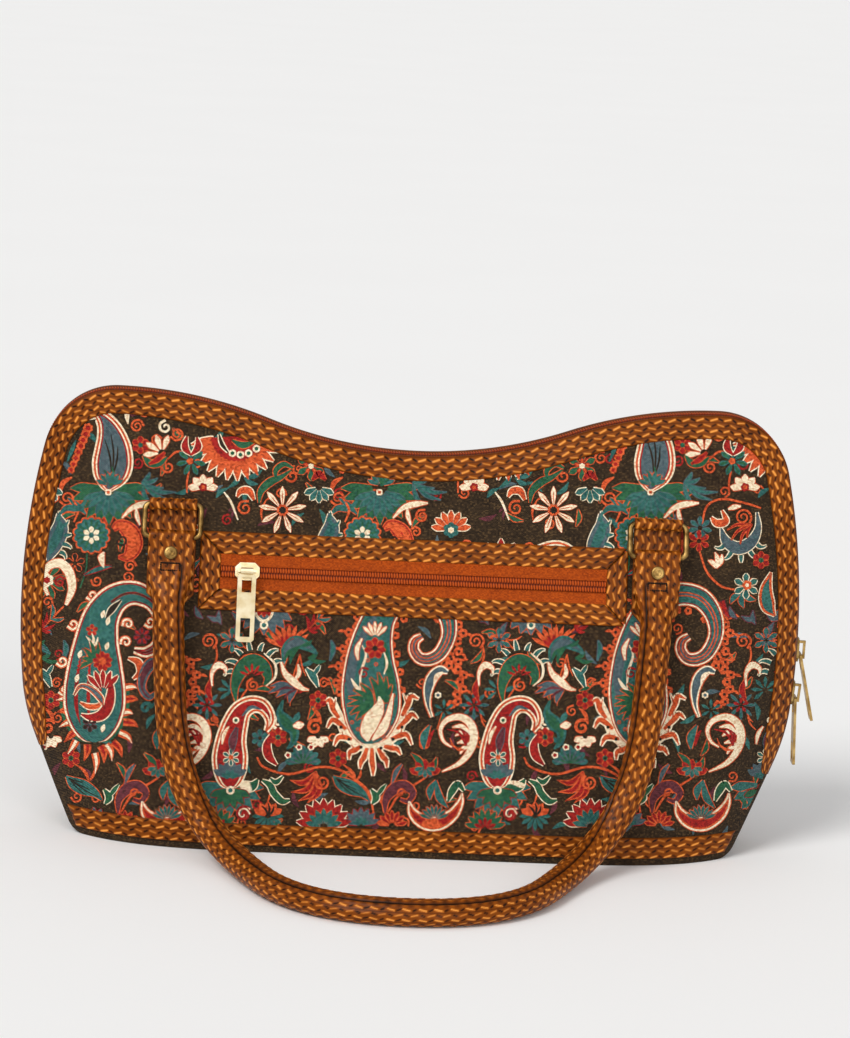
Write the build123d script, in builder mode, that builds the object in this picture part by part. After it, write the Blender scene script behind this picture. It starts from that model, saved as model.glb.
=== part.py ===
"""Carpet bag: a soft zip-top handbag of brocade with braided trim and two rolled handles.

Origin at the middle of the base on the floor, front towards -Y, right towards +X, up +Z.
Lengths in millimetres, angles in degrees.
"""
import math
import os

from build123d import *

os.makedirs("parts", exist_ok=True)

# Outline of the bag seen from the front
bag_height = 240.0
dip_height = 211.0
crest_half_span = 163.0
bag_half_width = 211.0
widest_height = 119.0
side_radius = 400.0
low_side_radius = 90.0
low_side_start_angle = 5.6
low_side_angle = 24.0
base_corner_radius = 10.0

# Depth of the bag from front to back
base_half_depth = 55.0
edge_half_depth = 9.5
lean_height = 225.0
flat_height = 165.0
side_power = 6
lean_power = 2

# Cloth, board and trim
wall = 2.5
seat_gap = 0.2
base_thickness = 3.0
gusset_height = 80.0
gusset_thickness = 2.0
trim_width = 12.0
trim_thickness = 1.4
trim_foot_height = 45.0
base_trim_gap = 0.6
base_trim_inset = 3.0
board_thickness = 2.0
board_length = 318.0
board_depth = 82.0
board_corner = 14.0

# Main zip
tape_thickness = 1.2
coil_half_width = 2.8
coil_rise = 0.8

# Front pocket: a slot behind the zip, framed by four mitred strips
pocket_zip_height = 149.0
window_half_length = 103.0
window_half_height = 8.5
strip_width = 12.0
pocket_tape_thickness = 0.8
pocket_coil_half_height = 3.0
pocket_coil_thickness = 1.8
pocket_coil_end_gap = 2.0
slot_half_length = 101.0
slot_half_height = 4.0
pouch_drop = 105.0
pouch_half_length = 108.0
pouch_thickness = 1.6

# Zip sliders and pulls
slider_length = 13.0
slider_width = 9.5
slider_corner = 2.5
slider_plate = 1.2
slider_gap = 0.3
slider_side_gap = 0.8
slider_skirt = 0.9
crown_length = 10.0
crown_height = 3.8
crown_bar = 1.3
crown_width = 1.8
pull_width = 9.8
pull_length = 38.0
pull_plate = 1.4
pull_corner = 1.4
pull_eye_gap = 0.4
pull_slot_width = 5.2
pull_slot_length = 8.0
pull_foot_slot_length = 10.0
pull_rail = 1.4
pocket_slider_x = -89.0
pocket_pull_lean = 7.0
upper_slider_height = 112.0
lower_slider_height = 88.0
upper_pull_lean = 13.0
lower_pull_lean = 2.0

# Chapes and rings
ring_x = 130.0
ring_height = 183.0
chape_width = 25.5
chape_foot_height = 128.0
chape_foot_cut = 8.0
chape_thickness = 1.6
chape_sink = 0.6
ring_wire_radius = 1.5
ring_inner_width = 27.0
ring_pitch = 18.0
ring_corner = 2.0
ring_play = 0.35
ring_lean = 23.0

# Handles
strap_width = 24.5
strap_thickness = 2.0
strap_half_slab = 2.5
strap_length = 21.0
neck_start = 14.0
neck_end = 38.0
neck_half_thickness = 2.4
roll_radius = 8.5
knee_height = 122.0
knee_gap = 2.0
foot_height = 45.0
foot_inset = 6.0
foot_gap = 3.0
floor_inset = 34.0
floor_reach = 25.0
floor_gap = 0.5
toe_inset = 78.0
toe_reach = 127.0
knee_radius = 80.0
foot_radius = 60.0
floor_radius = 40.0
toe_radius = 78.0
rivet_reach = 9.0
rivet_shank_radius = 1.45
rivet_hole_radius = 1.5
rivet_head_radius = 3.2
rivet_head_height = 1.6
rivet_head_taper = 40.0
rivet_back_radius = 3.0
rivet_back_thickness = 0.9

# Flat facets that stand for round sections and bends
roll_sides = 10
wire_sides = 8

handle_stations = 25
crest_segments = 4
shoulder_segments = 4
side_segments = 6
corner_segments = 3

# Facets of the domed panels: shares of the half width and of the height where they meet
panel_margin = 3.0
column_shares = (0, 0.19, 0.37, 0.52, 0.65, 0.76, 0.85, 0.925, 1)
row_shares = (0, 0.14, 0.28, 0.42, 0.55, 0.67, 0.78, 0.89, 1)

full_depth = 2 * base_half_depth
reach = 2 * full_depth

# Two equal arcs make each half of the top edge: a dip and a crest
crest_rise = (bag_height - dip_height) / 2
crest_radius = ((crest_half_span / 2) ** 2 + crest_rise ** 2) / (2 * crest_rise)
crest_turn = math.degrees(math.asin(crest_half_span / 2 / crest_radius))

# The shoulder arc touches the crest and the long arc of the side
side_centre_x = bag_half_width - side_radius
shoulder_run = crest_half_span - side_centre_x
shoulder_rise = bag_height - widest_height
shoulder_radius = (side_radius ** 2 - shoulder_run ** 2 - shoulder_rise ** 2) / (
    2 * (side_radius - shoulder_rise)
)
shoulder_height = bag_height - shoulder_radius
shoulder_angle = math.degrees(math.atan2(shoulder_height - widest_height, shoulder_run))

# The side turns inwards below the zip end and runs straight to the base
low_centre_run = side_radius - low_side_radius
low_centre_x = side_centre_x + low_centre_run * math.cos(math.radians(low_side_start_angle))
low_centre_z = widest_height - low_centre_run * math.sin(math.radians(low_side_start_angle))
low_end_x = low_centre_x + low_side_radius * math.cos(math.radians(low_side_angle))
low_end_z = low_centre_z - low_side_radius * math.sin(math.radians(low_side_angle))
base_half_length = low_end_x - low_end_z * math.tan(math.radians(low_side_angle))


def top_edge(x):
    """Height of the top edge: a round dip in the middle and a round crest on each side."""
    run = min(abs(x), crest_half_span)
    if run < crest_half_span / 2:
        return dip_height + crest_radius - math.sqrt(crest_radius ** 2 - run ** 2)
    return bag_height - crest_radius + math.sqrt(
        crest_radius ** 2 - (crest_half_span - run) ** 2
    )


def depth(x, z):
    """Half depth of the bag: full at the base, leaning in to the zip, rounded off at the sides."""
    side = side_centre_x + math.sqrt(side_radius ** 2 - (z - widest_height) ** 2)
    lean = 1 - (z / lean_height) ** lean_power
    crest = top_edge(x)
    rise = max(z - flat_height, 0) / (crest - flat_height)
    lean -= (1 - (crest / lean_height) ** lean_power) * rise ** 2
    return edge_half_depth + (base_half_depth - edge_half_depth) * lean * (
        1 - (x / side) ** side_power
    )


def round_section(half_width, half_height, sides):
    """Corners of a facetted round or oval section."""
    turns = [2 * math.pi * (i + 0.5) / sides for i in range(sides)]
    return [(half_width * math.cos(t), half_height * math.sin(t)) for t in turns]


def placed(plane, section):
    """Corners of a section on its plane."""
    return [plane.from_local_coords(Vector(across, above)) for across, above in section]


def side_point(z):
    """Place on the long arc of the right side and the angle of the arc there."""
    angle = math.asin((z - widest_height) / side_radius)
    return side_centre_x + side_radius * math.cos(angle), math.degrees(angle)


def arc(centre_x, centre_z, radius, start, end, segments):
    """Corners along an arc between two angles, all but the last."""
    turns = [math.radians(start + (end - start) * i / segments) for i in range(segments)]
    return [(centre_x + radius * math.cos(t), centre_z + radius * math.sin(t)) for t in turns]


def flat(*corners):
    """Flat face between corners."""
    return Face(Wire.make_polygon(corners))


def skin(sections, closed=False):
    """Solid with flat facets through sections that have the same number of corners."""
    pairs = list(zip(sections, sections[1:]))
    faces = [flat(*sections[0]), flat(*sections[-1])]
    if closed:
        pairs.append((sections[-1], sections[0]))
        faces = []
    for near, far in pairs:
        for i in range(len(near)):
            faces.append(flat(near[i - 1], near[i], far[i]))
            faces.append(flat(near[i - 1], far[i], far[i - 1]))
    return Solid(Shell(faces))


# The facets are carried a little past the outline that trims them
half_columns = [(bag_half_width + panel_margin) * share for share in column_shares]
columns = [-x for x in reversed(half_columns[1:])] + half_columns
rows = [(bag_height + 2 * panel_margin) * share - panel_margin for share in row_shares]


def layer(low, high):
    """Facetted sheet over the front of the bag between two heights above the panel's face."""
    def corner(height, i, k):
        return (columns[i], -depth(columns[i], rows[k]) - height, rows[k])

    faces = []
    for i in range(1, len(columns)):
        for k in (0, len(rows) - 1):
            faces.append(flat(
                corner(low, i - 1, k), corner(low, i, k), corner(high, i, k), corner(high, i - 1, k)
            ))
        lean = int(columns[i] > 0)
        for k in range(1, len(rows)):
            for height in (low, high):
                ends = (corner(height, i - lean, k - 1), corner(height, i - 1 + lean, k))
                faces.append(flat(*ends, corner(height, i - 1, k - 1 + lean)))
                faces.append(flat(*ends, corner(height, i, k - lean)))
    for k in range(1, len(rows)):
        for i in (0, len(columns) - 1):
            faces.append(flat(
                corner(low, i, k - 1), corner(low, i, k), corner(high, i, k), corner(high, i, k - 1)
            ))
    return Solid(Shell(faces))


# Right half of the outline from the dip round the side to the base
base_corner_x = base_half_length - base_corner_radius * math.tan(
    math.radians((90 - low_side_angle) / 2)
)
half_outline = (
    arc(0, dip_height + crest_radius, crest_radius, -90, crest_turn - 90, crest_segments)
    + arc(
        crest_half_span, bag_height - crest_radius, crest_radius, 90 + crest_turn, 90,
        crest_segments,
    )
    + arc(
        crest_half_span, shoulder_height, shoulder_radius, 90, shoulder_angle, shoulder_segments
    )
    + arc(
        side_centre_x, widest_height, side_radius, shoulder_angle, -low_side_start_angle,
        side_segments,
    )
    + arc(
        low_centre_x, low_centre_z, low_side_radius, -low_side_start_angle, -low_side_angle,
        corner_segments,
    )
    + [(low_end_x, low_end_z)]
    + arc(
        base_corner_x, base_corner_radius, base_corner_radius, -low_side_angle, -90,
        corner_segments,
    )
    + [(base_corner_x, 0)]
)

with BuildSketch(Plane.XZ) as outline:
    with BuildLine():
        Polyline(*half_outline, *((-x, z) for x, z in reversed(half_outline[1:])), close=True)
    make_face()

with BuildSketch(Plane.XZ) as panel_shape:
    add(outline.sketch)
    with Locations((0, base_thickness / 2)):
        Rectangle(2 * bag_half_width, base_thickness, mode=Mode.SUBTRACT)

with BuildSketch(Plane.XZ) as edge_band:
    add(outline.sketch)
    offset(outline.sketch, amount=-trim_width, mode=Mode.SUBTRACT)
    with Locations((0, trim_foot_height / 2)):
        Rectangle(2 * bag_half_width, trim_foot_height, mode=Mode.SUBTRACT)

with BuildSketch(Plane.XZ) as base_band:
    offset(outline.sketch, amount=-base_trim_inset)
    with Locations((0, base_thickness + base_trim_gap + trim_width / 2)):
        Rectangle(2 * bag_half_width, trim_width, mode=Mode.INTERSECT)

# Front panel with the slot of the pocket
with BuildPart() as front_panel:
    add(layer(-wall, 0))
    with BuildSketch(Plane.XZ):
        add(panel_shape.sketch)
    extrude(amount=reach, both=True, mode=Mode.INTERSECT)
    with BuildSketch(Plane.XZ):
        with Locations((0, pocket_zip_height)):
            Rectangle(2 * slot_half_length, 2 * slot_half_height)
    extrude(amount=reach, mode=Mode.SUBTRACT)
front_panel.part.label = "front_panel"
export_step(front_panel.part, "parts/front_panel.step")

with BuildPart() as back_panel:
    mirror(layer(-wall, 0), about=Plane.XZ)
    with BuildSketch(Plane.XZ):
        add(panel_shape.sketch)
    extrude(amount=reach, both=True, mode=Mode.INTERSECT)
back_panel.part.label = "back_panel"
export_step(back_panel.part, "parts/back_panel.step")

# Base panel between the feet of both panels
with BuildPart() as base_panel:
    add(layer(-reach, 0))
    mirror(layer(-reach, 0), about=Plane.XZ, mode=Mode.INTERSECT)
    with BuildSketch(Plane.XZ):
        add(outline.sketch)
        with Locations((0, base_thickness / 2)):
            Rectangle(2 * bag_half_width, base_thickness, mode=Mode.INTERSECT)
    extrude(amount=reach, both=True, mode=Mode.INTERSECT)
base_panel.part.label = "base_panel"
export_step(base_panel.part, "parts/base_panel.step")

# Stiffener that lies loose on the base
with BuildPart() as base_board:
    with BuildSketch(Plane.XY.offset(base_thickness)):
        plate = Rectangle(board_length, board_depth)
        chamfer(plate.vertices(), board_corner)
    extrude(amount=board_thickness)
base_board.part.label = "base_board"
export_step(base_board.part, "parts/base_board.step")

# Wedges of cloth between the panels, below the ends of the main zip
with BuildPart() as right_gusset:
    add(layer(-reach, -wall - seat_gap))
    mirror(layer(-reach, -wall - seat_gap), about=Plane.XZ, mode=Mode.INTERSECT)
    with BuildSketch(Plane.XZ):
        add(outline.sketch)
        offset(outline.sketch, amount=-gusset_thickness, mode=Mode.SUBTRACT)
        with Locations((bag_half_width / 2, (gusset_height + base_thickness) / 2)):
            Rectangle(bag_half_width, gusset_height - base_thickness, mode=Mode.INTERSECT)
    extrude(amount=reach, both=True, mode=Mode.INTERSECT)
right_gusset.part.label = "right_gusset"
export_step(right_gusset.part, "parts/right_gusset.step")

with BuildPart() as left_gusset:
    mirror(right_gusset.part, about=Plane.YZ)
left_gusset.part.label = "left_gusset"
export_step(left_gusset.part, "parts/left_gusset.step")

# Braided trim round the top and sides of each panel
with BuildPart() as front_edge_trim:
    add(layer(seat_gap, seat_gap + trim_thickness))
    with BuildSketch(Plane.XZ):
        add(edge_band.sketch)
    extrude(amount=reach, both=True, mode=Mode.INTERSECT)
front_edge_trim.part.label = "front_edge_trim"
export_step(front_edge_trim.part, "parts/front_edge_trim.step")

with BuildPart() as back_edge_trim:
    mirror(front_edge_trim.part, about=Plane.XZ)
back_edge_trim.part.label = "back_edge_trim"
export_step(back_edge_trim.part, "parts/back_edge_trim.step")

# Braided trim along the lower edge of each panel
with BuildPart() as front_base_trim:
    add(layer(seat_gap, seat_gap + trim_thickness))
    with BuildSketch(Plane.XZ):
        add(base_band.sketch)
    extrude(amount=reach, both=True, mode=Mode.INTERSECT)
front_base_trim.part.label = "front_base_trim"
export_step(front_base_trim.part, "parts/front_base_trim.step")

with BuildPart() as back_base_trim:
    mirror(front_base_trim.part, about=Plane.XZ)
back_base_trim.part.label = "back_base_trim"
export_step(back_base_trim.part, "parts/back_base_trim.step")

# Main zip: a tape sewn to each panel and the closed coil between them
with BuildPart() as main_zip_front_tape:
    add(layer(-reach, -wall - seat_gap))
    with BuildSketch(Plane.XZ.offset(coil_half_width)):
        add(outline.sketch)
        offset(outline.sketch, amount=-tape_thickness, mode=Mode.SUBTRACT)
        with Locations((0, gusset_height / 2)):
            Rectangle(2 * bag_half_width, gusset_height, mode=Mode.SUBTRACT)
    extrude(amount=reach, mode=Mode.INTERSECT)
main_zip_front_tape.part.label = "main_zip_front_tape"
export_step(main_zip_front_tape.part, "parts/main_zip_front_tape.step")

with BuildPart() as main_zip_back_tape:
    mirror(main_zip_front_tape.part, about=Plane.XZ)
main_zip_back_tape.part.label = "main_zip_back_tape"
export_step(main_zip_back_tape.part, "parts/main_zip_back_tape.step")

with BuildPart() as main_zip_coil:
    with BuildSketch(Plane.XZ):
        offset(outline.sketch, amount=coil_rise, kind=Kind.INTERSECTION)
        offset(outline.sketch, amount=-tape_thickness, mode=Mode.SUBTRACT)
        with Locations((0, (gusset_height - coil_rise) / 2)):
            Rectangle(
                2 * (bag_half_width + coil_rise), gusset_height + coil_rise, mode=Mode.SUBTRACT
            )
    extrude(amount=coil_half_width, both=True)
main_zip_coil.part.label = "main_zip_coil"
export_step(main_zip_coil.part, "parts/main_zip_coil.step")

# Frame of the pocket: four strips with mitred corners
frame_half_length = window_half_length + strip_width
frame_half_height = window_half_height + strip_width
window_top = pocket_zip_height + window_half_height
window_bottom = pocket_zip_height - window_half_height
frame_top = pocket_zip_height + frame_half_height
frame_bottom = pocket_zip_height - frame_half_height

with BuildPart() as pocket_top_strip:
    add(layer(seat_gap, seat_gap + trim_thickness))
    with BuildSketch(Plane.XZ):
        with BuildLine():
            Polyline(
                (-frame_half_length, frame_top), (frame_half_length, frame_top),
                (window_half_length, window_top), (-window_half_length, window_top), close=True,
            )
        make_face()
    extrude(amount=reach, both=True, mode=Mode.INTERSECT)
pocket_top_strip.part.label = "pocket_top_strip"
export_step(pocket_top_strip.part, "parts/pocket_top_strip.step")

with BuildPart() as pocket_bottom_strip:
    add(layer(seat_gap, seat_gap + trim_thickness))
    with BuildSketch(Plane.XZ):
        with BuildLine():
            Polyline(
                (-frame_half_length, frame_bottom), (frame_half_length, frame_bottom),
                (window_half_length, window_bottom), (-window_half_length, window_bottom),
                close=True,
            )
        make_face()
    extrude(amount=reach, both=True, mode=Mode.INTERSECT)
pocket_bottom_strip.part.label = "pocket_bottom_strip"
export_step(pocket_bottom_strip.part, "parts/pocket_bottom_strip.step")

with BuildPart() as pocket_right_strip:
    add(layer(seat_gap, seat_gap + trim_thickness))
    with BuildSketch(Plane.XZ):
        with BuildLine():
            Polyline(
                (frame_half_length, frame_bottom), (frame_half_length, frame_top),
                (window_half_length, window_top), (window_half_length, window_bottom),
                close=True,
            )
        make_face()
    extrude(amount=reach, both=True, mode=Mode.INTERSECT)
pocket_right_strip.part.label = "pocket_right_strip"
export_step(pocket_right_strip.part, "parts/pocket_right_strip.step")

with BuildPart() as pocket_left_strip:
    mirror(pocket_right_strip.part, about=Plane.YZ)
pocket_left_strip.part.label = "pocket_left_strip"
export_step(pocket_left_strip.part, "parts/pocket_left_strip.step")

# Pocket zip: two tapes inside the frame and the coil along the slot
tape_height = window_half_height - pocket_coil_half_height

with BuildPart() as pocket_zip_upper_tape:
    add(layer(seat_gap, seat_gap + pocket_tape_thickness))
    with BuildSketch(Plane.XZ):
        with Locations((0, window_top - tape_height / 2)):
            Rectangle(2 * window_half_length, tape_height)
    extrude(amount=reach, both=True, mode=Mode.INTERSECT)
pocket_zip_upper_tape.part.label = "pocket_zip_upper_tape"
export_step(pocket_zip_upper_tape.part, "parts/pocket_zip_upper_tape.step")

with BuildPart() as pocket_zip_lower_tape:
    add(layer(seat_gap, seat_gap + pocket_tape_thickness))
    with BuildSketch(Plane.XZ):
        with Locations((0, window_bottom + tape_height / 2)):
            Rectangle(2 * window_half_length, tape_height)
    extrude(amount=reach, both=True, mode=Mode.INTERSECT)
pocket_zip_lower_tape.part.label = "pocket_zip_lower_tape"
export_step(pocket_zip_lower_tape.part, "parts/pocket_zip_lower_tape.step")

with BuildPart() as pocket_zip_coil:
    add(layer(seat_gap, seat_gap + pocket_coil_thickness))
    with BuildSketch(Plane.XZ):
        with Locations((0, pocket_zip_height)):
            Rectangle(
                2 * (window_half_length - pocket_coil_end_gap), 2 * pocket_coil_half_height
            )
    extrude(amount=reach, both=True, mode=Mode.INTERSECT)
pocket_zip_coil.part.label = "pocket_zip_coil"
export_step(pocket_zip_coil.part, "parts/pocket_zip_coil.step")

# Empty pouch of the pocket, flat against the inside of the front panel
with BuildPart() as pocket_pouch:
    add(layer(-wall - seat_gap - pouch_thickness, -wall - seat_gap))
    with BuildSketch(Plane.XZ):
        with Locations((0, window_top - pouch_drop / 2)):
            Rectangle(2 * pouch_half_length, pouch_drop)
    extrude(amount=reach, both=True, mode=Mode.INTERSECT)
pocket_pouch.part.label = "pocket_pouch"
export_step(pocket_pouch.part, "parts/pocket_pouch.step")

# Pocket slider: plate with side skirts over the coil, and a crown with a bar along the zip
pocket_spot = Vector(pocket_slider_x, -depth(pocket_slider_x, pocket_zip_height), pocket_zip_height)
pocket_slope = math.atan(
    (depth(pocket_slider_x, window_bottom) - depth(pocket_slider_x, window_top))
    / (window_top - window_bottom)
)
pocket_out = Vector(0, -math.cos(pocket_slope), math.sin(pocket_slope))
pocket_down = Vector(0, -math.sin(pocket_slope), -math.cos(pocket_slope))
pocket_plate_rise = seat_gap + pocket_coil_thickness + slider_gap
pocket_crown_rise = pocket_plate_rise + slider_plate
pocket_plate_plane = Plane(pocket_spot + pocket_out * pocket_plate_rise, (1, 0, 0), pocket_out)
pocket_crown_plane = Plane(pocket_spot + pocket_out * pocket_crown_rise, (1, 0, 0), pocket_down)
pocket_bar = pocket_spot + pocket_out * (pocket_crown_rise + crown_height - crown_bar / 2)

with BuildPart() as pocket_zip_slider:
    with BuildSketch(pocket_plate_plane):
        plate = Rectangle(slider_length, slider_width)
        chamfer(plate.vertices(), slider_corner)
    extrude(amount=slider_plate)
    with BuildSketch(pocket_plate_plane):
        Rectangle(slider_length - 2 * slider_corner, slider_width)
        Rectangle(
            slider_length, 2 * (pocket_coil_half_height + slider_side_gap), mode=Mode.SUBTRACT
        )
    extrude(amount=-slider_skirt)
    with BuildSketch(pocket_crown_plane):
        with Locations((0, crown_height / 2)):
            Rectangle(crown_length, crown_height)
        with Locations((0, (crown_height - crown_bar) / 2)):
            Rectangle(
                crown_length - 2 * crown_bar, crown_height - crown_bar, mode=Mode.SUBTRACT
            )
    extrude(amount=crown_bar / 2, both=True)
pocket_zip_slider.part.label = "pocket_zip_slider"
export_step(pocket_zip_slider.part, "parts/pocket_zip_slider.step")

# Pocket pull: a plate with an opening at its foot, hung on the crown bar by a round eye
eye_radius = crown_bar / 2 * math.sqrt(2) + pull_eye_gap
eye_width = crown_length - 2 * crown_bar - 2 * pull_eye_gap
eye_outer = eye_radius + pull_plate / 2
pocket_lean = math.radians(pocket_pull_lean)
pocket_pull_out = Vector(0, -math.cos(pocket_lean), math.sin(pocket_lean))
pocket_pull_plane = Plane(pocket_bar, (1, 0, 0), pocket_pull_out)
pocket_eye_plane = Plane(pocket_bar, pocket_pull_out, (1, 0, 0))

with BuildPart() as pocket_zip_pull:
    with BuildSketch(pocket_pull_plane):
        with Locations((0, -(eye_radius + pull_length) / 2)):
            plate = Rectangle(pull_width, pull_length - eye_radius)
        chamfer(plate.vertices(), pull_corner)
        with Locations((0, -eye_outer - pull_rail - pull_slot_length / 2)):
            Rectangle(pull_slot_width, pull_slot_length, mode=Mode.SUBTRACT)
        with Locations((0, -pull_length + 2 * pull_rail + pull_foot_slot_length / 2)):
            Rectangle(pull_slot_width, pull_foot_slot_length, mode=Mode.SUBTRACT)
    extrude(amount=pull_plate / 2, both=True)
    with BuildSketch(pocket_eye_plane):
        RegularPolygon(eye_outer, roll_sides)
    extrude(amount=eye_width / 2, both=True)
    with BuildSketch(pocket_eye_plane):
        Circle(eye_radius)
    extrude(amount=pull_width, both=True, mode=Mode.SUBTRACT)
pocket_zip_pull.part.label = "pocket_zip_pull"
export_step(pocket_zip_pull.part, "parts/pocket_zip_pull.step")

# Heights above the side of the bag that both main sliders share
main_plate_rise = coil_rise + slider_gap
main_crown_rise = main_plate_rise + slider_plate
rail_rise = main_crown_rise + pull_eye_gap + pull_rail / 2
rail_drop = crown_length / 2 - crown_bar - pull_eye_gap - pull_rail / 2

# Upper main slider, square to the side of the bag
upper_x, upper_angle = side_point(upper_slider_height)
upper_out = Vector(1, 0, 0).rotate(Axis.Y, -upper_angle)
upper_up = Vector(0, 0, 1).rotate(Axis.Y, -upper_angle)
upper_spot = Vector(upper_x, 0, upper_slider_height)

with BuildPart() as upper_zip_slider:
    with BuildSketch(Plane(upper_spot + upper_out * main_plate_rise, (0, 1, 0), upper_out)):
        plate = Rectangle(slider_width, slider_length)
        chamfer(plate.vertices(), slider_corner)
    extrude(amount=slider_plate)
    with BuildSketch(Plane(upper_spot + upper_out * main_crown_rise, upper_out, (0, -1, 0))):
        with Locations((crown_height / 2, 0)):
            Rectangle(crown_height, crown_length)
        with Locations(((crown_height - crown_bar) / 2, 0)):
            Rectangle(
                crown_height - crown_bar, crown_length - 2 * crown_bar, mode=Mode.SUBTRACT
            )
    extrude(amount=crown_width / 2, both=True)
upper_zip_slider.part.label = "upper_zip_slider"
export_step(upper_zip_slider.part, "parts/upper_zip_slider.step")

# Upper pull: its rail turns under the crown and the plate rests out over the lower slider
upper_rail = upper_spot + upper_out * rail_rise - upper_up * rail_drop
upper_pull_out = Vector(1, 0, 0).rotate(Axis.Y, -upper_pull_lean)

with BuildPart() as upper_zip_pull:
    with BuildSketch(Plane(upper_rail, (0, 1, 0), upper_pull_out)):
        with Locations((0, (pull_rail - pull_length) / 2)):
            plate = Rectangle(pull_width, pull_length)
        chamfer(plate.vertices(), pull_corner / 2)
        with Locations((0, -(pull_rail + pull_slot_length) / 2)):
            Rectangle(pull_slot_width, pull_slot_length, mode=Mode.SUBTRACT)
        with Locations((0, -pull_length + 2 * pull_rail + pull_foot_slot_length / 2)):
            Rectangle(pull_slot_width, pull_foot_slot_length, mode=Mode.SUBTRACT)
    extrude(amount=pull_plate / 2, both=True)
upper_zip_pull.part.label = "upper_zip_pull"
export_step(upper_zip_pull.part, "parts/upper_zip_pull.step")

# Lower main slider at the end of the zip
lower_x, lower_angle = side_point(lower_slider_height)
lower_out = Vector(1, 0, 0).rotate(Axis.Y, -lower_angle)
lower_up = Vector(0, 0, 1).rotate(Axis.Y, -lower_angle)
lower_spot = Vector(lower_x, 0, lower_slider_height)

with BuildPart() as lower_zip_slider:
    with BuildSketch(Plane(lower_spot + lower_out * coil_rise, (0, 1, 0), lower_out)):
        plate = Rectangle(slider_width, slider_length)
        chamfer(plate.vertices(), slider_corner)
    extrude(amount=slider_plate + slider_gap)
    with BuildSketch(Plane(lower_spot + lower_out * main_crown_rise, lower_out, (0, -1, 0))):
        with Locations((crown_height / 2, 0)):
            Rectangle(crown_height, crown_length)
        with Locations(((crown_height - crown_bar) / 2, 0)):
            Rectangle(
                crown_height - crown_bar, crown_length - 2 * crown_bar, mode=Mode.SUBTRACT
            )
    extrude(amount=crown_width / 2, both=True)
lower_zip_slider.part.label = "lower_zip_slider"
export_step(lower_zip_slider.part, "parts/lower_zip_slider.step")

# Lower pull, hanging straight down
lower_rail = lower_spot + lower_out * rail_rise - lower_up * rail_drop
lower_pull_out = Vector(1, 0, 0).rotate(Axis.Y, -lower_pull_lean)

with BuildPart() as lower_zip_pull:
    with BuildSketch(Plane(lower_rail, (0, 1, 0), lower_pull_out)):
        with Locations((0, (pull_rail - pull_length) / 2)):
            plate = Rectangle(pull_width, pull_length)
        chamfer(plate.vertices(), pull_corner / 2)
        with Locations((0, -(pull_rail + pull_slot_length) / 2)):
            Rectangle(pull_slot_width, pull_slot_length, mode=Mode.SUBTRACT)
        with Locations((0, -pull_length + 2 * pull_rail + pull_foot_slot_length / 2)):
            Rectangle(pull_slot_width, pull_foot_slot_length, mode=Mode.SUBTRACT)
    extrude(amount=pull_plate / 2, both=True)
lower_zip_pull.part.label = "lower_zip_pull"
export_step(lower_zip_pull.part, "parts/lower_zip_pull.step")

# Chapes: tabs sewn to the panel, their tops rolled round the upper bars of the rings
chape_bore = ring_wire_radius + ring_play
chape_roll = chape_bore + chape_thickness
ring_y = -depth(ring_x, ring_height) - seat_gap - chape_thickness - chape_roll + chape_sink
chape_half = chape_width / 2
chape_top = ring_height + chape_roll / 2

with BuildPart() as front_right_chape:
    add(layer(seat_gap, seat_gap + chape_thickness))
    with BuildSketch(Plane.XZ):
        with BuildLine():
            Polyline(
                (ring_x + chape_half, chape_foot_height + chape_foot_cut),
                (ring_x + chape_half, chape_top),
                (ring_x - chape_half, chape_top),
                (ring_x - chape_half, chape_foot_height + chape_foot_cut),
                (ring_x - chape_half + chape_foot_cut, chape_foot_height),
                (ring_x + chape_half - chape_foot_cut, chape_foot_height),
                close=True,
            )
        make_face()
    extrude(amount=reach, both=True, mode=Mode.INTERSECT)
    with BuildSketch(Plane.YZ.offset(ring_x)):
        with Locations((ring_y, ring_height)):
            RegularPolygon(chape_roll, roll_sides, major_radius=False)
    extrude(amount=chape_half, both=True)
    with BuildSketch(Plane.YZ.offset(ring_x)):
        with Locations((ring_y, ring_height)):
            Circle(chape_bore)
    extrude(amount=chape_width, both=True, mode=Mode.SUBTRACT)
front_right_chape.part.label = "front_right_chape"
export_step(front_right_chape.part, "parts/front_right_chape.step")

with BuildPart() as front_left_chape:
    mirror(front_right_chape.part, about=Plane.YZ)
front_left_chape.part.label = "front_left_chape"
export_step(front_left_chape.part, "parts/front_left_chape.step")

with BuildPart() as back_right_chape:
    mirror(front_right_chape.part, about=Plane.XZ)
back_right_chape.part.label = "back_right_chape"
export_step(back_right_chape.part, "parts/back_right_chape.step")

with BuildPart() as back_left_chape:
    mirror(front_left_chape.part, about=Plane.XZ)
back_left_chape.part.label = "back_left_chape"
export_step(back_left_chape.part, "parts/back_left_chape.step")

# Rings: bent wire loops that hang in the chapes, leaning out from the panel
hang = math.radians(ring_lean)
ring_spot = Vector(ring_x, ring_y, ring_height)
ring_down = Vector(0, -math.sin(hang), -math.cos(hang))
ring_plane = Plane(ring_spot, (1, 0, 0), (0, -math.cos(hang), math.sin(hang)))
ring_half_width = ring_inner_width / 2 + ring_wire_radius

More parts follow.
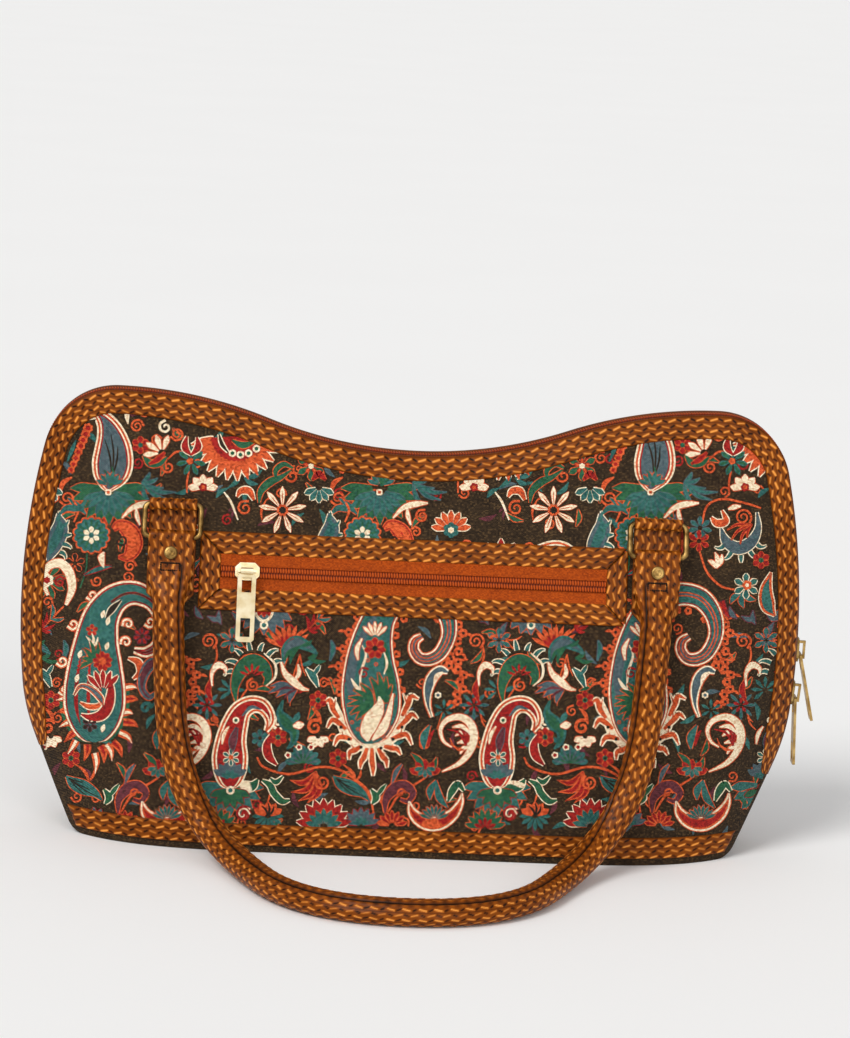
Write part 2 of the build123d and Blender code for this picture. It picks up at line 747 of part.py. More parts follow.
ring_near = ring_half_width - ring_corner
ring_foot = ring_corner - ring_pitch
ring_corners = (
    (ring_near, 0), (ring_half_width, -ring_corner), (ring_half_width, ring_foot),
    (ring_near, -ring_pitch), (-ring_near, -ring_pitch), (-ring_half_width, ring_foot),
    (-ring_half_width, -ring_corner), (-ring_near, 0),
)
ring_sections = []
for i in range(len(ring_corners)):
    corner = Vector(*ring_corners[i])
    before = (corner - Vector(*ring_corners[i - 1])).normalized()
    after = (Vector(*ring_corners[(i + 1) % len(ring_corners)]) - corner).normalized()
    turn = (before + after).normalized()
    mitre = Vector(-turn.Y, turn.X) / turn.dot(before)
    ring_sections.append([
        ring_plane.from_local_coords(corner + mitre * across + Vector(0, 0, 1) * above)
        for across, above in round_section(ring_wire_radius, ring_wire_radius, wire_sides)
    ])

with BuildPart() as front_rings:
    add(skin(ring_sections, closed=True))
    mirror(about=Plane.YZ)
front_rings.part.label = "front_rings"
export_step(front_rings.part, "parts/front_rings.step")

with BuildPart() as back_rings:
    mirror(front_rings.part, about=Plane.XZ)
back_rings.part.label = "back_rings"
export_step(back_rings.part, "parts/back_rings.step")

# Handle: each end a strap folded over the lower bar of a ring, then a neck, then the long roll
bar_spot = ring_spot + ring_down * ring_pitch
foot_x = ring_x - foot_inset
knee_spot = Vector(
    ring_x, -depth(ring_x, knee_height) - chape_thickness - roll_radius - knee_gap, knee_height
)
foot_spot = Vector(foot_x, -depth(foot_x, foot_height) - roll_radius - foot_gap, foot_height)
floor_spot = Vector(
    ring_x - floor_inset, -base_half_depth - floor_reach, roll_radius + floor_gap
)
toe_spot = Vector(ring_x - toe_inset, -base_half_depth - toe_reach, roll_radius + floor_gap)
strap_down = (knee_spot - bar_spot).normalized()
strap_out = strap_down.cross(Vector(1, 0, 0)).normalized()
neck_spot = bar_spot + strap_down * neck_end
handle_half = (neck_spot, knee_spot, foot_spot, floor_spot, toe_spot)
handle_turns = (knee_radius, foot_radius, floor_radius, toe_radius)
fold_radius = ring_wire_radius + ring_play + strap_thickness
roll_section = round_section(roll_radius, roll_radius, roll_sides)
roll_hint = Vector(0, -math.sin(hang), math.cos(hang))

with BuildPart() as handle_end:
    with BuildSketch(Plane(bar_spot, strap_out, (1, 0, 0))):
        RegularPolygon(fold_radius, roll_sides)
        with Locations((0, strap_length / 2)):
            Rectangle(2 * strap_half_slab, strap_length)
    extrude(amount=strap_width / 2, both=True)
    add(skin([
        placed(
            Plane(bar_spot + strap_down * neck_start, (1, 0, 0), strap_down),
            round_section(strap_width / 2, neck_half_thickness, roll_sides),
        ),
        placed(Plane(neck_spot, (1, 0, 0), strap_down), roll_section),
    ]))
    with BuildSketch(Plane(bar_spot, strap_out, (1, 0, 0))):
        Circle(ring_wire_radius + ring_play)
    extrude(amount=strap_width, both=True, mode=Mode.SUBTRACT)
    with BuildSketch(Plane(bar_spot + strap_down * rivet_reach, (1, 0, 0), strap_out)):
        RegularPolygon(rivet_hole_radius, wire_sides, major_radius=False)
    extrude(amount=roll_radius, both=True, mode=Mode.SUBTRACT)

with BuildLine() as handle_path:
    FilletPolyline(
        *handle_half, *(Vector(-p.X, p.Y, p.Z) for p in reversed(handle_half)),
        radius=(*handle_turns, *reversed(handle_turns)),
    )
handle_wire = handle_path.wire()
handle_sections = []
for i in range(handle_stations):
    share = i / (handle_stations - 1)
    along = handle_wire % share
    place = Plane(handle_wire @ share, roll_hint.cross(along), along)
    handle_sections.append(placed(place, roll_section))

with BuildPart() as front_handle:
    add(skin(handle_sections))
    add(handle_end.part)
    mirror(handle_end.part, about=Plane.YZ)
front_handle.part.label = "front_handle"
export_step(front_handle.part, "parts/front_handle.step")

with BuildPart() as back_handle:
    mirror(front_handle.part, about=Plane.XZ)
back_handle.part.label = "back_handle"
export_step(back_handle.part, "parts/back_handle.step")

# Rivets through the folded strap ends: a rounded head outside and a flat cap behind
rivet_plane = Plane(bar_spot + strap_down * rivet_reach, (1, 0, 0), strap_out)

with BuildPart() as front_rivets:
    with BuildSketch(rivet_plane.offset(strap_half_slab)):
        RegularPolygon(rivet_head_radius, wire_sides)
    extrude(amount=rivet_head_height, taper=rivet_head_taper)
    with BuildSketch(rivet_plane.offset(-strap_half_slab)):
        RegularPolygon(rivet_back_radius, wire_sides)
    extrude(amount=-rivet_back_thickness)
    with BuildSketch(rivet_plane):
        RegularPolygon(rivet_shank_radius, wire_sides, major_radius=False)
    extrude(amount=strap_half_slab, both=True)
    mirror(about=Plane.YZ)
front_rivets.part.label = "front_rivets"
export_step(front_rivets.part, "parts/front_rivets.step")

with BuildPart() as back_rivets:
    mirror(front_rivets.part, about=Plane.XZ)
back_rivets.part.label = "back_rivets"
export_step(back_rivets.part, "parts/back_rivets.step")
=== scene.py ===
import math

import bpy
import numpy as np
from mathutils import Matrix


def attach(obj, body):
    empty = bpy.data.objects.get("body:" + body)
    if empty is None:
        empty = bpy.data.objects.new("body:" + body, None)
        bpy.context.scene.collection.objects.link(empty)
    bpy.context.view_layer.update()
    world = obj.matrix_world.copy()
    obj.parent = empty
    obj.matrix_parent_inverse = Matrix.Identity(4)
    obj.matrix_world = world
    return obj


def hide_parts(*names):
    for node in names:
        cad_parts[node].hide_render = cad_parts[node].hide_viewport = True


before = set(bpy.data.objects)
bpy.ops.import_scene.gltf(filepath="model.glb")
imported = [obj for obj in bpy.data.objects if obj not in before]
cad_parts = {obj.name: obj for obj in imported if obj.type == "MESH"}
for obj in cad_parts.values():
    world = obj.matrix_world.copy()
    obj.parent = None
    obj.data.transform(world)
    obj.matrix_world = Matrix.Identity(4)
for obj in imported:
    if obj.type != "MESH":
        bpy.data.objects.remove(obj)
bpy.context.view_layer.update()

# The place to stand: a pale floor with soft light from the front left, and a long lens a little
# above the bag and rolled slightly. All lengths in this file are millimetres until they are placed.
MM = 0.001
photo_width, photo_height = 850.0, 1038.0
camera_turn, camera_rise, camera_roll = -1.6, 10.0, -2.7
camera_reach, camera_lens, sensor = 2000.0, 127.6, 36.0
aim = np.array([5.5, 0.0, 175.6])
turn, rise, roll = np.radians([camera_turn, camera_rise, camera_roll])
back_way = np.array([np.sin(turn) * np.cos(rise), -np.cos(turn) * np.cos(rise), np.sin(rise)])
level_way = np.array([np.cos(turn), np.sin(turn), 0.0])
upright_way = np.cross(back_way, level_way)
right_way = np.cos(roll) * level_way - np.sin(roll) * upright_way
up_way = np.sin(roll) * level_way + np.cos(roll) * upright_way
eye = aim + camera_reach * back_way
lens = bpy.data.cameras.new("camera")
lens.lens, lens.sensor_width = camera_lens, sensor
lens.clip_start, lens.clip_end = 0.1, 100
camera = bpy.data.objects.new("camera", lens)
bpy.context.scene.collection.objects.link(camera)
pose = np.eye(4)
pose[:3, 0], pose[:3, 1], pose[:3, 2], pose[:3, 3] = right_way, up_way, back_way, eye * MM
camera.matrix_world = Matrix(pose.tolist())
bpy.context.scene.camera = camera
bpy.context.scene.view_settings.view_transform = "Standard"
lamp_target, lamp_colour = np.array([0.0, 0.0, 100.0]), (1.0, 0.99, 0.97)
key_place, key_power, key_spread = np.array([-1100.0, -1500.0, 1900.0]), 1.6, 26.0
fill_place, fill_power, fill_spread = np.array([700.0, -2000.0, 900.0]), 0.7, 30.0
sky_power = 0.52


def lamp(name, place, power, spread):
    """A sun lamp turned to the bag: its -Z axis looks along the line from its place to the target."""
    data = bpy.data.lights.new(name, "SUN")
    data.energy, data.color, data.angle = power, lamp_colour, math.radians(spread)
    made = bpy.data.objects.new(name, data)
    bpy.context.scene.collection.objects.link(made)
    away = (place - lamp_target) / np.linalg.norm(place - lamp_target)
    side = np.cross((0.0, 0.0, 1.0), away)
    side /= np.linalg.norm(side)
    stand = np.eye(4)
    stand[:3, 0], stand[:3, 1], stand[:3, 2] = side, np.cross(away, side), away
    stand[:3, 3] = place * MM
    made.matrix_world = Matrix(stand.tolist())


lamp("key_light", key_place, key_power, key_spread)
lamp("fill_light", fill_place, fill_power, fill_spread)
sky = bpy.data.worlds.new("sky")
sky.use_nodes = True
sky_light = sky.node_tree.nodes["Background"]
sky_light.inputs["Color"].default_value = (1.0, 1.0, 1.0, 1)
sky_light.inputs["Strength"].default_value = sky_power
bpy.context.scene.world = sky


def grid_faces(rows, columns, loop_rows=False, loop_columns=False):
    """Faces of a grid of points: one four-sided face between each two rows and columns, wrapping
    round where asked."""
    i = np.arange(rows if loop_rows else rows - 1)[:, None]
    k = np.arange(columns if loop_columns else columns - 1)[None, :]
    i2, k2 = (i + 1) % rows, (k + 1) % columns
    corners = [i * columns + k, i2 * columns + k, i2 * columns + k2, i * columns + k2]
    return np.stack(corners, axis=-1).reshape(-1, 4)


def mesh_piece(name, points, quads, materials, attributes=None, material_index=None):
    """One object from points in millimetres and four-sided faces, smooth shaded, at the origin.
    Attributes are numbers kept on the points."""
    mesh = bpy.data.meshes.new(name)
    mesh.vertices.add(len(points))
    mesh.vertices.foreach_set("co", (points * MM).astype(np.float32).ravel())
    mesh.loops.add(quads.size)
    mesh.loops.foreach_set("vertex_index", quads.astype(np.int32).ravel())
    mesh.polygons.add(len(quads))
    mesh.polygons.foreach_set("loop_start", np.arange(0, quads.size, 4, dtype=np.int32))
    mesh.polygons.foreach_set("loop_total", np.full(len(quads), 4, np.int32))
    for material in materials:
        mesh.materials.append(material)
    if material_index is not None:
        mesh.polygons.foreach_set("material_index", material_index.astype(np.int32))
    mesh.polygons.foreach_set("use_smooth", np.ones(len(quads), bool))
    for key, values in (attributes or {}).items():
        kept_on = mesh.attributes.new(key, "FLOAT", "POINT")
        kept_on.data.foreach_set("value", values.astype(np.float32).ravel())
    mesh.update(calc_edges=True)
    mesh.validate()
    made = bpy.data.objects.new(name, mesh)
    bpy.context.scene.collection.objects.link(made)
    return made


def grid_piece(name, points, materials, attributes=None, loop_rows=False, loop_columns=False, turned=False):
    """Surface on a grid of rows x columns of points, its faces turned about where asked."""
    quads = grid_faces(*points.shape[:2], loop_rows, loop_columns)
    return mesh_piece(name, points.reshape(-1, 3), quads[:, ::-1] if turned else quads, materials, attributes)


def dye(red, green, blue):
    """Colour of a finish: each part of 255 as seen on a screen, turned into the shader's linear scale."""
    c = np.array([red, green, blue]) / 255.0
    c = np.where(c <= 0.04045, c / 12.92, ((c + 0.055) / 1.055) ** 2.4)
    return (*(float(v) for v in c), 1.0)


def shader(name, roughness, metallic=0.0):
    """An empty finish to paint: the material, its node tree, its surface and the place on the object."""
    made = bpy.data.materials.new(name)
    made.use_nodes = True
    tree = made.node_tree
    surface = tree.nodes["Principled BSDF"]
    surface.inputs["Roughness"].default_value = roughness
    surface.inputs["Metallic"].default_value = metallic
    return made, tree, surface, node(tree, "ShaderNodeTexCoord").outputs["Object"]


def node(tree, kind, settings=None, **inputs):
    """Adds a node, sets its options and fills its sockets with numbers, colours or other sockets.
    A socket is given by its name, or by i and its number."""
    made = tree.nodes.new(kind)
    for key, value in (settings or {}).items():
        setattr(made, key, value)
    for key, value in inputs.items():
        socket = made.inputs[int(key[1:])] if key[0] == "i" and key[1:].isdigit() else made.inputs[key]
        if isinstance(value, bpy.types.NodeSocket):
            tree.links.new(value, socket)
        else:
            socket.default_value = value
    return made


def noise(tree, at, scale, detail=2.0):
    """Cloudy numbers about 0.5 that change over the object, finer with a larger scale."""
    return node(tree, "ShaderNodeTexNoise", Vector=at, Scale=scale, Detail=detail).outputs["Fac"]


def ramp(tree, factor, *stops):
    """Colour ramp with stops of (share, colour)."""
    made = node(tree, "ShaderNodeValToRGB", Fac=factor)
    elements = made.color_ramp.elements
    while len(elements) < len(stops):
        elements.new(0.5)
    for element, (share, colour) in zip(elements, stops):
        element.position, element.color = share, colour
    return made.outputs["Color"]


floor_size = 60000.0
span = np.linspace(-floor_size / 2, floor_size / 2, 41)
floor_points = np.stack(np.broadcast_arrays(span[:, None], span[None, :], 0.0), axis=-1)
floor_finish, tree, surface, at = shader("pale_floor", 0.95)
pale = ramp(tree, noise(tree, at, 3.0), (0.3, dye(246, 246, 246)), (0.7, dye(247, 247, 247)))
tree.links.new(pale, surface.inputs["Base Color"])
floor = grid_piece("floor", floor_points, [floor_finish])

# Front and back of the bag: two shaped pieces of dark brocade on a soft lining, sewn together all
# round. Each stands full at the base, leans in to the zip at the top and rounds off at the sides.
bag_height, dip_height, crest_half_span = 240.0, 211.0, 163.0
bag_half_width, widest_height, side_radius = 211.0, 119.0, 400.0
low_side_radius, low_side_start, low_side_angle = 90.0, np.radians(5.6), np.radians(24.0)
base_corner_radius = 10.0
base_half_depth, edge_half_depth, lean_height, flat_height = 55.0, 9.5, 225.0, 165.0
wall = 2.5
crest_rise = (bag_height - dip_height) / 2
crest_radius = ((crest_half_span / 2) ** 2 + crest_rise ** 2) / (2 * crest_rise)
crest_turn = np.arcsin(crest_half_span / 2 / crest_radius)
side_centre = bag_half_width - side_radius
shoulder_run, shoulder_rise = crest_half_span - side_centre, bag_height - widest_height
shoulder_reach = side_radius ** 2 - shoulder_run ** 2 - shoulder_rise ** 2
shoulder_radius = shoulder_reach / (2 * (side_radius - shoulder_rise))
shoulder_height = bag_height - shoulder_radius
shoulder_angle = np.arctan2(shoulder_height - widest_height, shoulder_run)
low_centre_x = side_centre + (side_radius - low_side_radius) * np.cos(low_side_start)
low_centre_z = widest_height - (side_radius - low_side_radius) * np.sin(low_side_start)
low_end_x = low_centre_x + low_side_radius * np.cos(low_side_angle)
low_end_z = low_centre_z - low_side_radius * np.sin(low_side_angle)
base_half_length = low_end_x - low_end_z * np.tan(low_side_angle)
base_corner_x = base_half_length - base_corner_radius * np.tan((np.pi / 2 - low_side_angle) / 2)


def arc(centre_x, centre_z, radius, start, end, count):
    """Points along an arc between two angles."""
    t = np.linspace(start, end, count)
    return np.stack([centre_x + radius * np.cos(t), centre_z + radius * np.sin(t)], axis=-1)


half_edge = np.concatenate([
    [[0.0, 0.0], [base_corner_x, 0.0]],
    arc(base_corner_x, base_corner_radius, base_corner_radius, -np.pi / 2, -low_side_angle, 9),
    arc(low_centre_x, low_centre_z, low_side_radius, -low_side_angle, -low_side_start, 15),
    arc(side_centre, widest_height, side_radius, -low_side_start, shoulder_angle, 60)[1:],
    arc(crest_half_span, shoulder_height, shoulder_radius, shoulder_angle, np.pi / 2, 40)[1:],
    arc(crest_half_span, bag_height - crest_radius, crest_radius, np.pi / 2, np.pi / 2 + crest_turn, 40)[1:],
    arc(0, dip_height + crest_radius, crest_radius, crest_turn - np.pi / 2, -np.pi / 2, 40)[1:],
])
widest = int(np.argmax(half_edge[:, 0]))
puff_low, puff_high = 1.5, 0.7
puff_side, puff_foot, puff_under_pocket, puff_over_pocket, puff_rim = 200.0, 18.0, 120.0, 172.0, 16.0
side_fade, low_fade, high_fade = 40.0, 25.0, 15.0


def top_edge(x):
    """Height of the top edge: a round dip in the middle and a round crest on each side."""
    run = np.minimum(np.abs(x), crest_half_span)
    dip = dip_height + crest_radius - np.sqrt(crest_radius ** 2 - np.minimum(run, crest_half_span / 2) ** 2)
    crest = bag_height - crest_radius + np.sqrt(crest_radius ** 2 - (crest_half_span - run) ** 2)
    return np.where(run < crest_half_span / 2, dip, crest)


def edge_over(x):
    """Upper edge of the outline over each x."""
    upper = half_edge[widest:][::-1]
    return np.interp(np.abs(x), upper[:, 0], upper[:, 1])


def edge_under(x):
    """Lower edge of the outline under each x."""
    return np.interp(np.abs(x), half_edge[:widest + 1, 0], half_edge[:widest + 1, 1])


def fullness(x, z):
    """Soft unevenness of the stuffed cloth: two slow crossed waves, fading out to the edges and
    the pocket."""
    side = np.clip((puff_side - np.abs(x)) / side_fade, 0, 1)
    low = np.clip((z - puff_foot) / low_fade, 0, 1) * np.clip((puff_under_pocket - z) / low_fade, 0, 1)
    high = np.clip((z - puff_over_pocket) / high_fade, 0, 1)
    high = high * np.clip((edge_over(x) - puff_rim - z) / high_fade, 0, 1)
    waves = np.sin(x / 29 + z / 41 + 0.6) * np.sin(z / 24 - x / 83 + 0.4)
    return side * (puff_low * low + puff_high * high) * waves


def depth(x, z):
    """Half depth of the bag: full at the base, leaning in to the zip by the square of the height and
    rounded off at the sides by a sixth power, plus the cloth's soft unevenness."""
    side = side_centre + np.sqrt(side_radius ** 2 - (z - widest_height) ** 2)
    crest = top_edge(x)
    rise = np.maximum(z - flat_height, 0) / (crest - flat_height)
    lean = 1 - (z / lean_height) ** 2 - (1 - (crest / lean_height) ** 2) * rise ** 2
    rounded = 1 - (x / side) ** 6
    return edge_half_depth + (base_half_depth - edge_half_depth) * lean * rounded + fullness(x, z)


def reckon(tree, operation, *values):
    """One sum in a finish, of numbers or sockets."""
    filled = {f"i{place}": value for place, value in enumerate(values)}
    return node(tree, "ShaderNodeMath", {"operation": operation}, **filled).outputs[0]


def emboss(tree, surface, strength, distance, height):
    """Lets a finish stand up by a height from 0 to 1, times a distance in millimetres."""
    lift = node(tree, "ShaderNodeBump", Strength=strength, Distance=distance * MM, Height=height)
    tree.links.new(lift.outputs["Normal"], surface.inputs["Normal"])


def woven(name, shade, light, stray, rib=1.2, sheen=0.06, roughness=0.8):
    """Cloth of slanting threads: every stitch has its own shade between two, some take a third, the
    colour swings from thread to thread, and each thread stands up a little."""
    made, tree, surface, at = shader(name, roughness)
    twill = node(tree, "ShaderNodeTexWave", {"bands_direction": "DIAGONAL"}, Vector=at,
                 Scale=2 * math.pi / (10 * rib * MM), Distortion=1.5, Detail=1.0).outputs["Fac"]
    stitch_size = (0.9 * MM, 0.9 * MM, 0.6 * MM)
    stitch = node(tree, "ShaderNodeVectorMath", {"operation": "SNAP"}, i0=at, i1=stitch_size)
    chance = node(tree, "ShaderNodeTexWhiteNoise", Vector=stitch.outputs[0]).outputs["Value"]
    part = reckon(tree, "MULTIPLY_ADD", chance, 0.45, 0.0)
    part = reckon(tree, "MULTIPLY_ADD", twill, 0.35, part)
    part = reckon(tree, "MULTIPLY_ADD", noise(tree, at, 90.0, 3.0), 0.35, part)
    shades = ramp(tree, part, (0.32, shade), (0.76, light))
    odd = reckon(tree, "MULTIPLY", reckon(tree, "GREATER_THAN", chance, 0.86), 0.75)
    mixed = node(tree, "ShaderNodeMixRGB", Fac=odd, Color1=shades, Color2=stray).outputs["Color"]
    tree.links.new(mixed, surface.inputs["Base Color"])
    emboss(tree, surface, 0.4, 0.3, part)
    surface.inputs["Sheen Weight"].default_value = sheen
    surface.inputs["Sheen Roughness"].default_value = 0.45
    surface.inputs["Specular IOR Level"].default_value = 0.12
    return made


ground = woven("brocade_ground", dye(27, 19, 12), dye(62, 47, 31), dye(84, 64, 40))
seam_share = 0.9995
across = bag_half_width * seam_share * np.sin(np.linspace(-1, 1, 181) * np.pi / 2)[:, None]
up = np.linspace(0, 1, 111)[None, :]
cloth_z = edge_under(across) + up * (edge_over(across) - edge_under(across))
cloth_x = np.broadcast_to(across, cloth_z.shape)
for face, way in (("front", -1), ("back", 1)):
    cloth_points = np.stack([cloth_x, way * depth(cloth_x, cloth_z), cloth_z], axis=-1)
    cloth = grid_piece(face + "_cloth", cloth_points, [ground], turned=way > 0)
    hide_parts(face + "_panel")
    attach(cloth, "bag")

# Bottom and the two wedges under the zip ends, of the same brocade. The bottom is sewn in flat and
# the wedges close the sides from the bottom up to the stop of the zip.
low_edge = half_edge[2:widest]
wedge_foot, wedge_top, wedge_tuck, wedge_hollow, hollow_span = 1.5, 80.5, 0.4, 1.6, 82.0
bottom_end_tuck, bottom_side_tuck, bottom_clear, bottom_turn_up = 0.6, 0.3, 0.05, 1.6


def side_at(z):
    """Half length of the bag at a height below its widest line."""
    return np.interp(z, low_edge[:, 1], low_edge[:, 0])


def wedge_dip(share, z):
    """How far a wedge sinks in between the panels: half a wave across and half a wave up."""
    return wedge_hollow * np.cos(share * np.pi / 2) * np.sin(np.pi * z / hollow_span)


share = np.linspace(-1, 1, 25)[None, :]
wedge_z = np.linspace(wedge_foot, wedge_top, 40)[:, None]
wedge_x = side_at(wedge_z)
wedge_y = share * (depth(wedge_x, wedge_z) - wedge_tuck)
wedge_out = wedge_x - wedge_dip(share, wedge_z)
for name, way in (("right", 1), ("left", -1)):
    wedge_points = np.stack(np.broadcast_arrays(way * wedge_out, wedge_y, wedge_z), axis=-1)
    wedge = grid_piece(name + "_wedge", wedge_points, [ground], turned=way > 0)
    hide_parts(name + "_gusset")
    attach(wedge, "bag")
bottom_x = (base_half_length - bottom_end_tuck) * np.linspace(-1, 1, 90)[:, None]
share = np.linspace(-1, 1, 31)[None, :]
bottom_y = share * (depth(bottom_x, 0.0 * bottom_x) - bottom_side_tuck)
turned_up = np.maximum(np.abs(share) ** 12, np.abs(bottom_x / base_half_length) ** 40)
bottom_z = bottom_clear + bottom_turn_up * turned_up
bottom_points = np.stack(np.broadcast_arrays(bottom_x, bottom_y, bottom_z), axis=-1)
bottom = grid_piece("bottom_cloth", bottom_points, [ground])
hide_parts("base_panel")
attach(bottom, "bag")

# Paisley of the brocade: coloured wefts float over the dark ground as drops, fans, rosettes, leaves
# and tendrils, repeated along the cloth. They are drawn in the photo's pixels and laid on the cloth.
threads = {
    "cream": woven("cream_weft", dye(204, 182, 144), dye(250, 236, 208), dye(190, 132, 92)),
    "rust": woven("rust_weft", dye(158, 50, 22), dye(232, 106, 58), dye(104, 30, 18)),
    "red": woven("red_weft", dye(110, 20, 20), dye(182, 44, 38), dye(60, 20, 22)),
    "teal": woven("teal_weft", dye(22, 58, 60), dye(66, 120, 112), dye(34, 80, 56)),
    "green": woven("green_weft", dye(18, 54, 38), dye(56, 108, 72), dye(34, 76, 74)),
    "blue": woven("blue_weft", dye(46, 58, 66), dye(94, 110, 114), dye(42, 78, 80)),
    "plum": woven("plum_weft", dye(64, 28, 36), dye(118, 60, 66), dye(40, 30, 28)),
    "dark": woven("dark_weft", dye(24, 20, 16), dye(56, 46, 36), dye(40, 34, 28)),
}
weft_order = list(threads)
drawn = []


def run_length(path):
    """Distance along a line at each of its points."""
    return np.concatenate([[0], np.cumsum(np.linalg.norm(np.diff(path, axis=0), axis=1))])


def even(path, count):
    """The same line with its points at even distances."""
    length = run_length(path)
    at = np.linspace(0, length[-1], count)
    return np.stack([np.interp(at, length, path[:, c]) for c in range(path.shape[1])], axis=-1)


def heading(path, least=0.0):
    """Direction of a line at each of its points, of length one."""
    along = np.gradient(path, axis=0)
    return along / (np.linalg.norm(along, axis=1, keepdims=True) + least)


def square_to(along):
    """Directions turned a quarter to the left."""
    return np.stack([-along[:, 1], along[:, 0]], axis=-1)


def curve(points, steps=7):
    """Smooth line through given points: between two points a cubic whose ends point along
    the line from the neighbour before to the neighbour after."""
    p = np.asarray(points, float)
    p = np.vstack([2 * p[0] - p[1], p, 2 * p[-1] - p[-2]])
    t = np.linspace(0, len(points) - 1, steps * (len(points) - 1) + 1)
    i = np.minimum(t.astype(int), len(points) - 2)
    f = (t - i)[:, None]
    a, b, c, d = p[i], p[i + 1], p[i + 2], p[i + 3]
    return 0.5 * (2 * b + (c - a) * f + (2 * a - 5 * b + 4 * c - d) * f ** 2
                  + (3 * b - a - 3 * c + d) * f ** 3)


def weave(sheet, colour, level, loop=False):
    """Keeps one flat shape: a grid of picture points with its colour and its layer above the cloth."""
    quads = grid_faces(*sheet.shape[:2], loop)[:, [0, 3, 2, 1]]
    drawn.append((sheet.reshape(-1, 2), quads, weft_order.index(colour), level))


def stroke(points, layers, level=2, steps=6):
    """Drop, leaf or stem: a line through (x, y, half width) with that width set off to both sides,
    once for each (colour, widening), each layer over the last."""
    line = curve(points, steps)
    off = square_to(heading(line[:, :2], 1e-9))
    for n, (colour, grow) in enumerate(layers):
        half = np.maximum(line[:, 2] + grow, 0.15)
        share = np.linspace(-1, 1, 2 + int(half.max() // 7))
        spread = share[None, :, None] * half[:, None, None] * off[:, None, :]
        weave(line[:, None, :2] + spread, colour, level + n)


def leaf(root, middle, tip, half, layers, level=2, end=0.8):
    """Single leaf: a stroke from root to tip through its middle, widest there."""
    stroke([(*root, end), (*middle, half), (*tip, end)], layers, level)


def disc(colour, eye=None, share=0.5):
    """Layers of a rosette: one colour, with an eye of another over a share of it."""
    return [(colour, 1)] + ([(eye, share)] if eye else [])


def rosette(x, y, radius, lobes, layers, level=2, start=0.0, sweep=360.0, notch=0.2):
    """Round or half blossom: a disc whose rim swings in between its lobes, in shrinking layers."""
    full = abs(sweep) >= 360
    share = np.linspace(0, 1, 8 * lobes + 1)[:-1 if full else None]
    a = np.radians(start + sweep * share)
    rim = 1 - notch * (1 - np.abs(np.sin(np.pi * lobes * share)))
    spokes = np.stack([np.cos(a), -np.sin(a)], axis=-1)[:, None, :] * rim[:, None, None]
    for n, (colour, size) in enumerate(layers):
        rings = radius * size * np.linspace(0.03, 1, 2 + int(radius * size // 8))[None, :, None]
        weave(np.array([x, y]) + rings * spokes, colour, level + n, loop=full)


def petals(x, y, radius, count, layers, level=2, start=90.0, sweep=360.0, plump=0.22, inner=0.2):
    """Open flower, fan or crown: leaf shapes set round a point between two angles."""
    step = sweep / (count if abs(sweep) >= 360 else max(count - 1, 1))
    w = plump * radius
    outline = ((inner, 0.25), (0.5, 0.8), (0.75, 1.0), (1.0, 0.1))
    for n in range(count):
        a = math.radians(start + n * step)
        c, s = math.cos(a) * radius, -math.sin(a) * radius
        stroke([(x + c * f, y + s * f, w * g) for f, g in outline], layers, level, steps=4)


def blades(x, y, tips, width, layers, level=2, bend=0.12):
    """Spray of leaves: each runs from one root to its tip, bowed to one side."""
    for tip_x, tip_y in tips:
        dx, dy = tip_x - x, tip_y - y
        belly = (x + 0.55 * dx - bend * dy, y + 0.55 * dy + bend * dx, width)
        stroke([(x, y, 0.6), belly, (tip_x, tip_y, 0.4)], layers, level, steps=5)


def curl(x, y, radius, turns, start, colour, width=1.3, hand=1, level=2):
    """Tendril: a line that winds in to its middle, its radius shrinking evenly with the angle."""
    t = np.linspace(0, 1, max(5, int(turns * 7)))
    a = np.radians(start) + hand * t * turns * 2 * np.pi
    r = radius * (1 - 0.86 * t)
    wound = np.stack([x + r * np.cos(a), y - r * np.sin(a), width * (1 - 0.4 * t)], axis=-1)
    stroke(wound, [(colour, 0)], level, steps=4)


def row_of(points, count):
    """Even places along a line with the way along it and the way out to its left at each."""
    place = even(curve([(*p, 0) for p in points], 12)[:, :2], count)
    along = heading(place)
    return place, along, -square_to(along)


def flames(points, count, length, width, layers, level=2, hand=1):
    """Row of small flames along a line: all stand out to one side and bow away from the middle."""
    place, along, out = row_of(points, count)
    for n, (p, o, a) in enumerate(zip(place, hand * out, along)):
        a = a * (2 * n / (count - 1) - 1) * length
        size = length * (1.0 if n % 2 else 0.78)
        stroke([(*p, width), (*(p + o * size * 0.4), width), (*(p + o * size * 0.8 + a * 0.22), width * 0.55),
                (*(p + o * size + a * 0.6), 0.2)], layers, level, steps=4)


def lace(points, count, size, level=1, hand=1):
    """Coral edging along a line: small rings with open middles, and a leaf out of every second one."""
    place, along, out = row_of(points, count)
    for n, (p, o, a) in enumerate(zip(place, hand * out, along)):
        c = p + o * size * (0.2 + 0.7 * (n % 2))
        rosette(*c, size * 0.8, 5, disc("rust"), level)
        rosette(*(c + o * 0.1 * size), size * 0.26, 4, disc("dark"), level + 1)
        if n % 2:
            middle, tip = c + o * size * 1.2 + a * 1.5, c + o * size * 1.7 + a * 3.5
            stroke([(*(c + o * size * 0.5), 0.6), (*middle, 1.5), (*tip, 0.3)], rust, level, steps=3)


def take_drawn():
    """Hands over what has been drawn since the last time, as one field of the pattern."""
    field = list(drawn)
    drawn.clear()
    return field


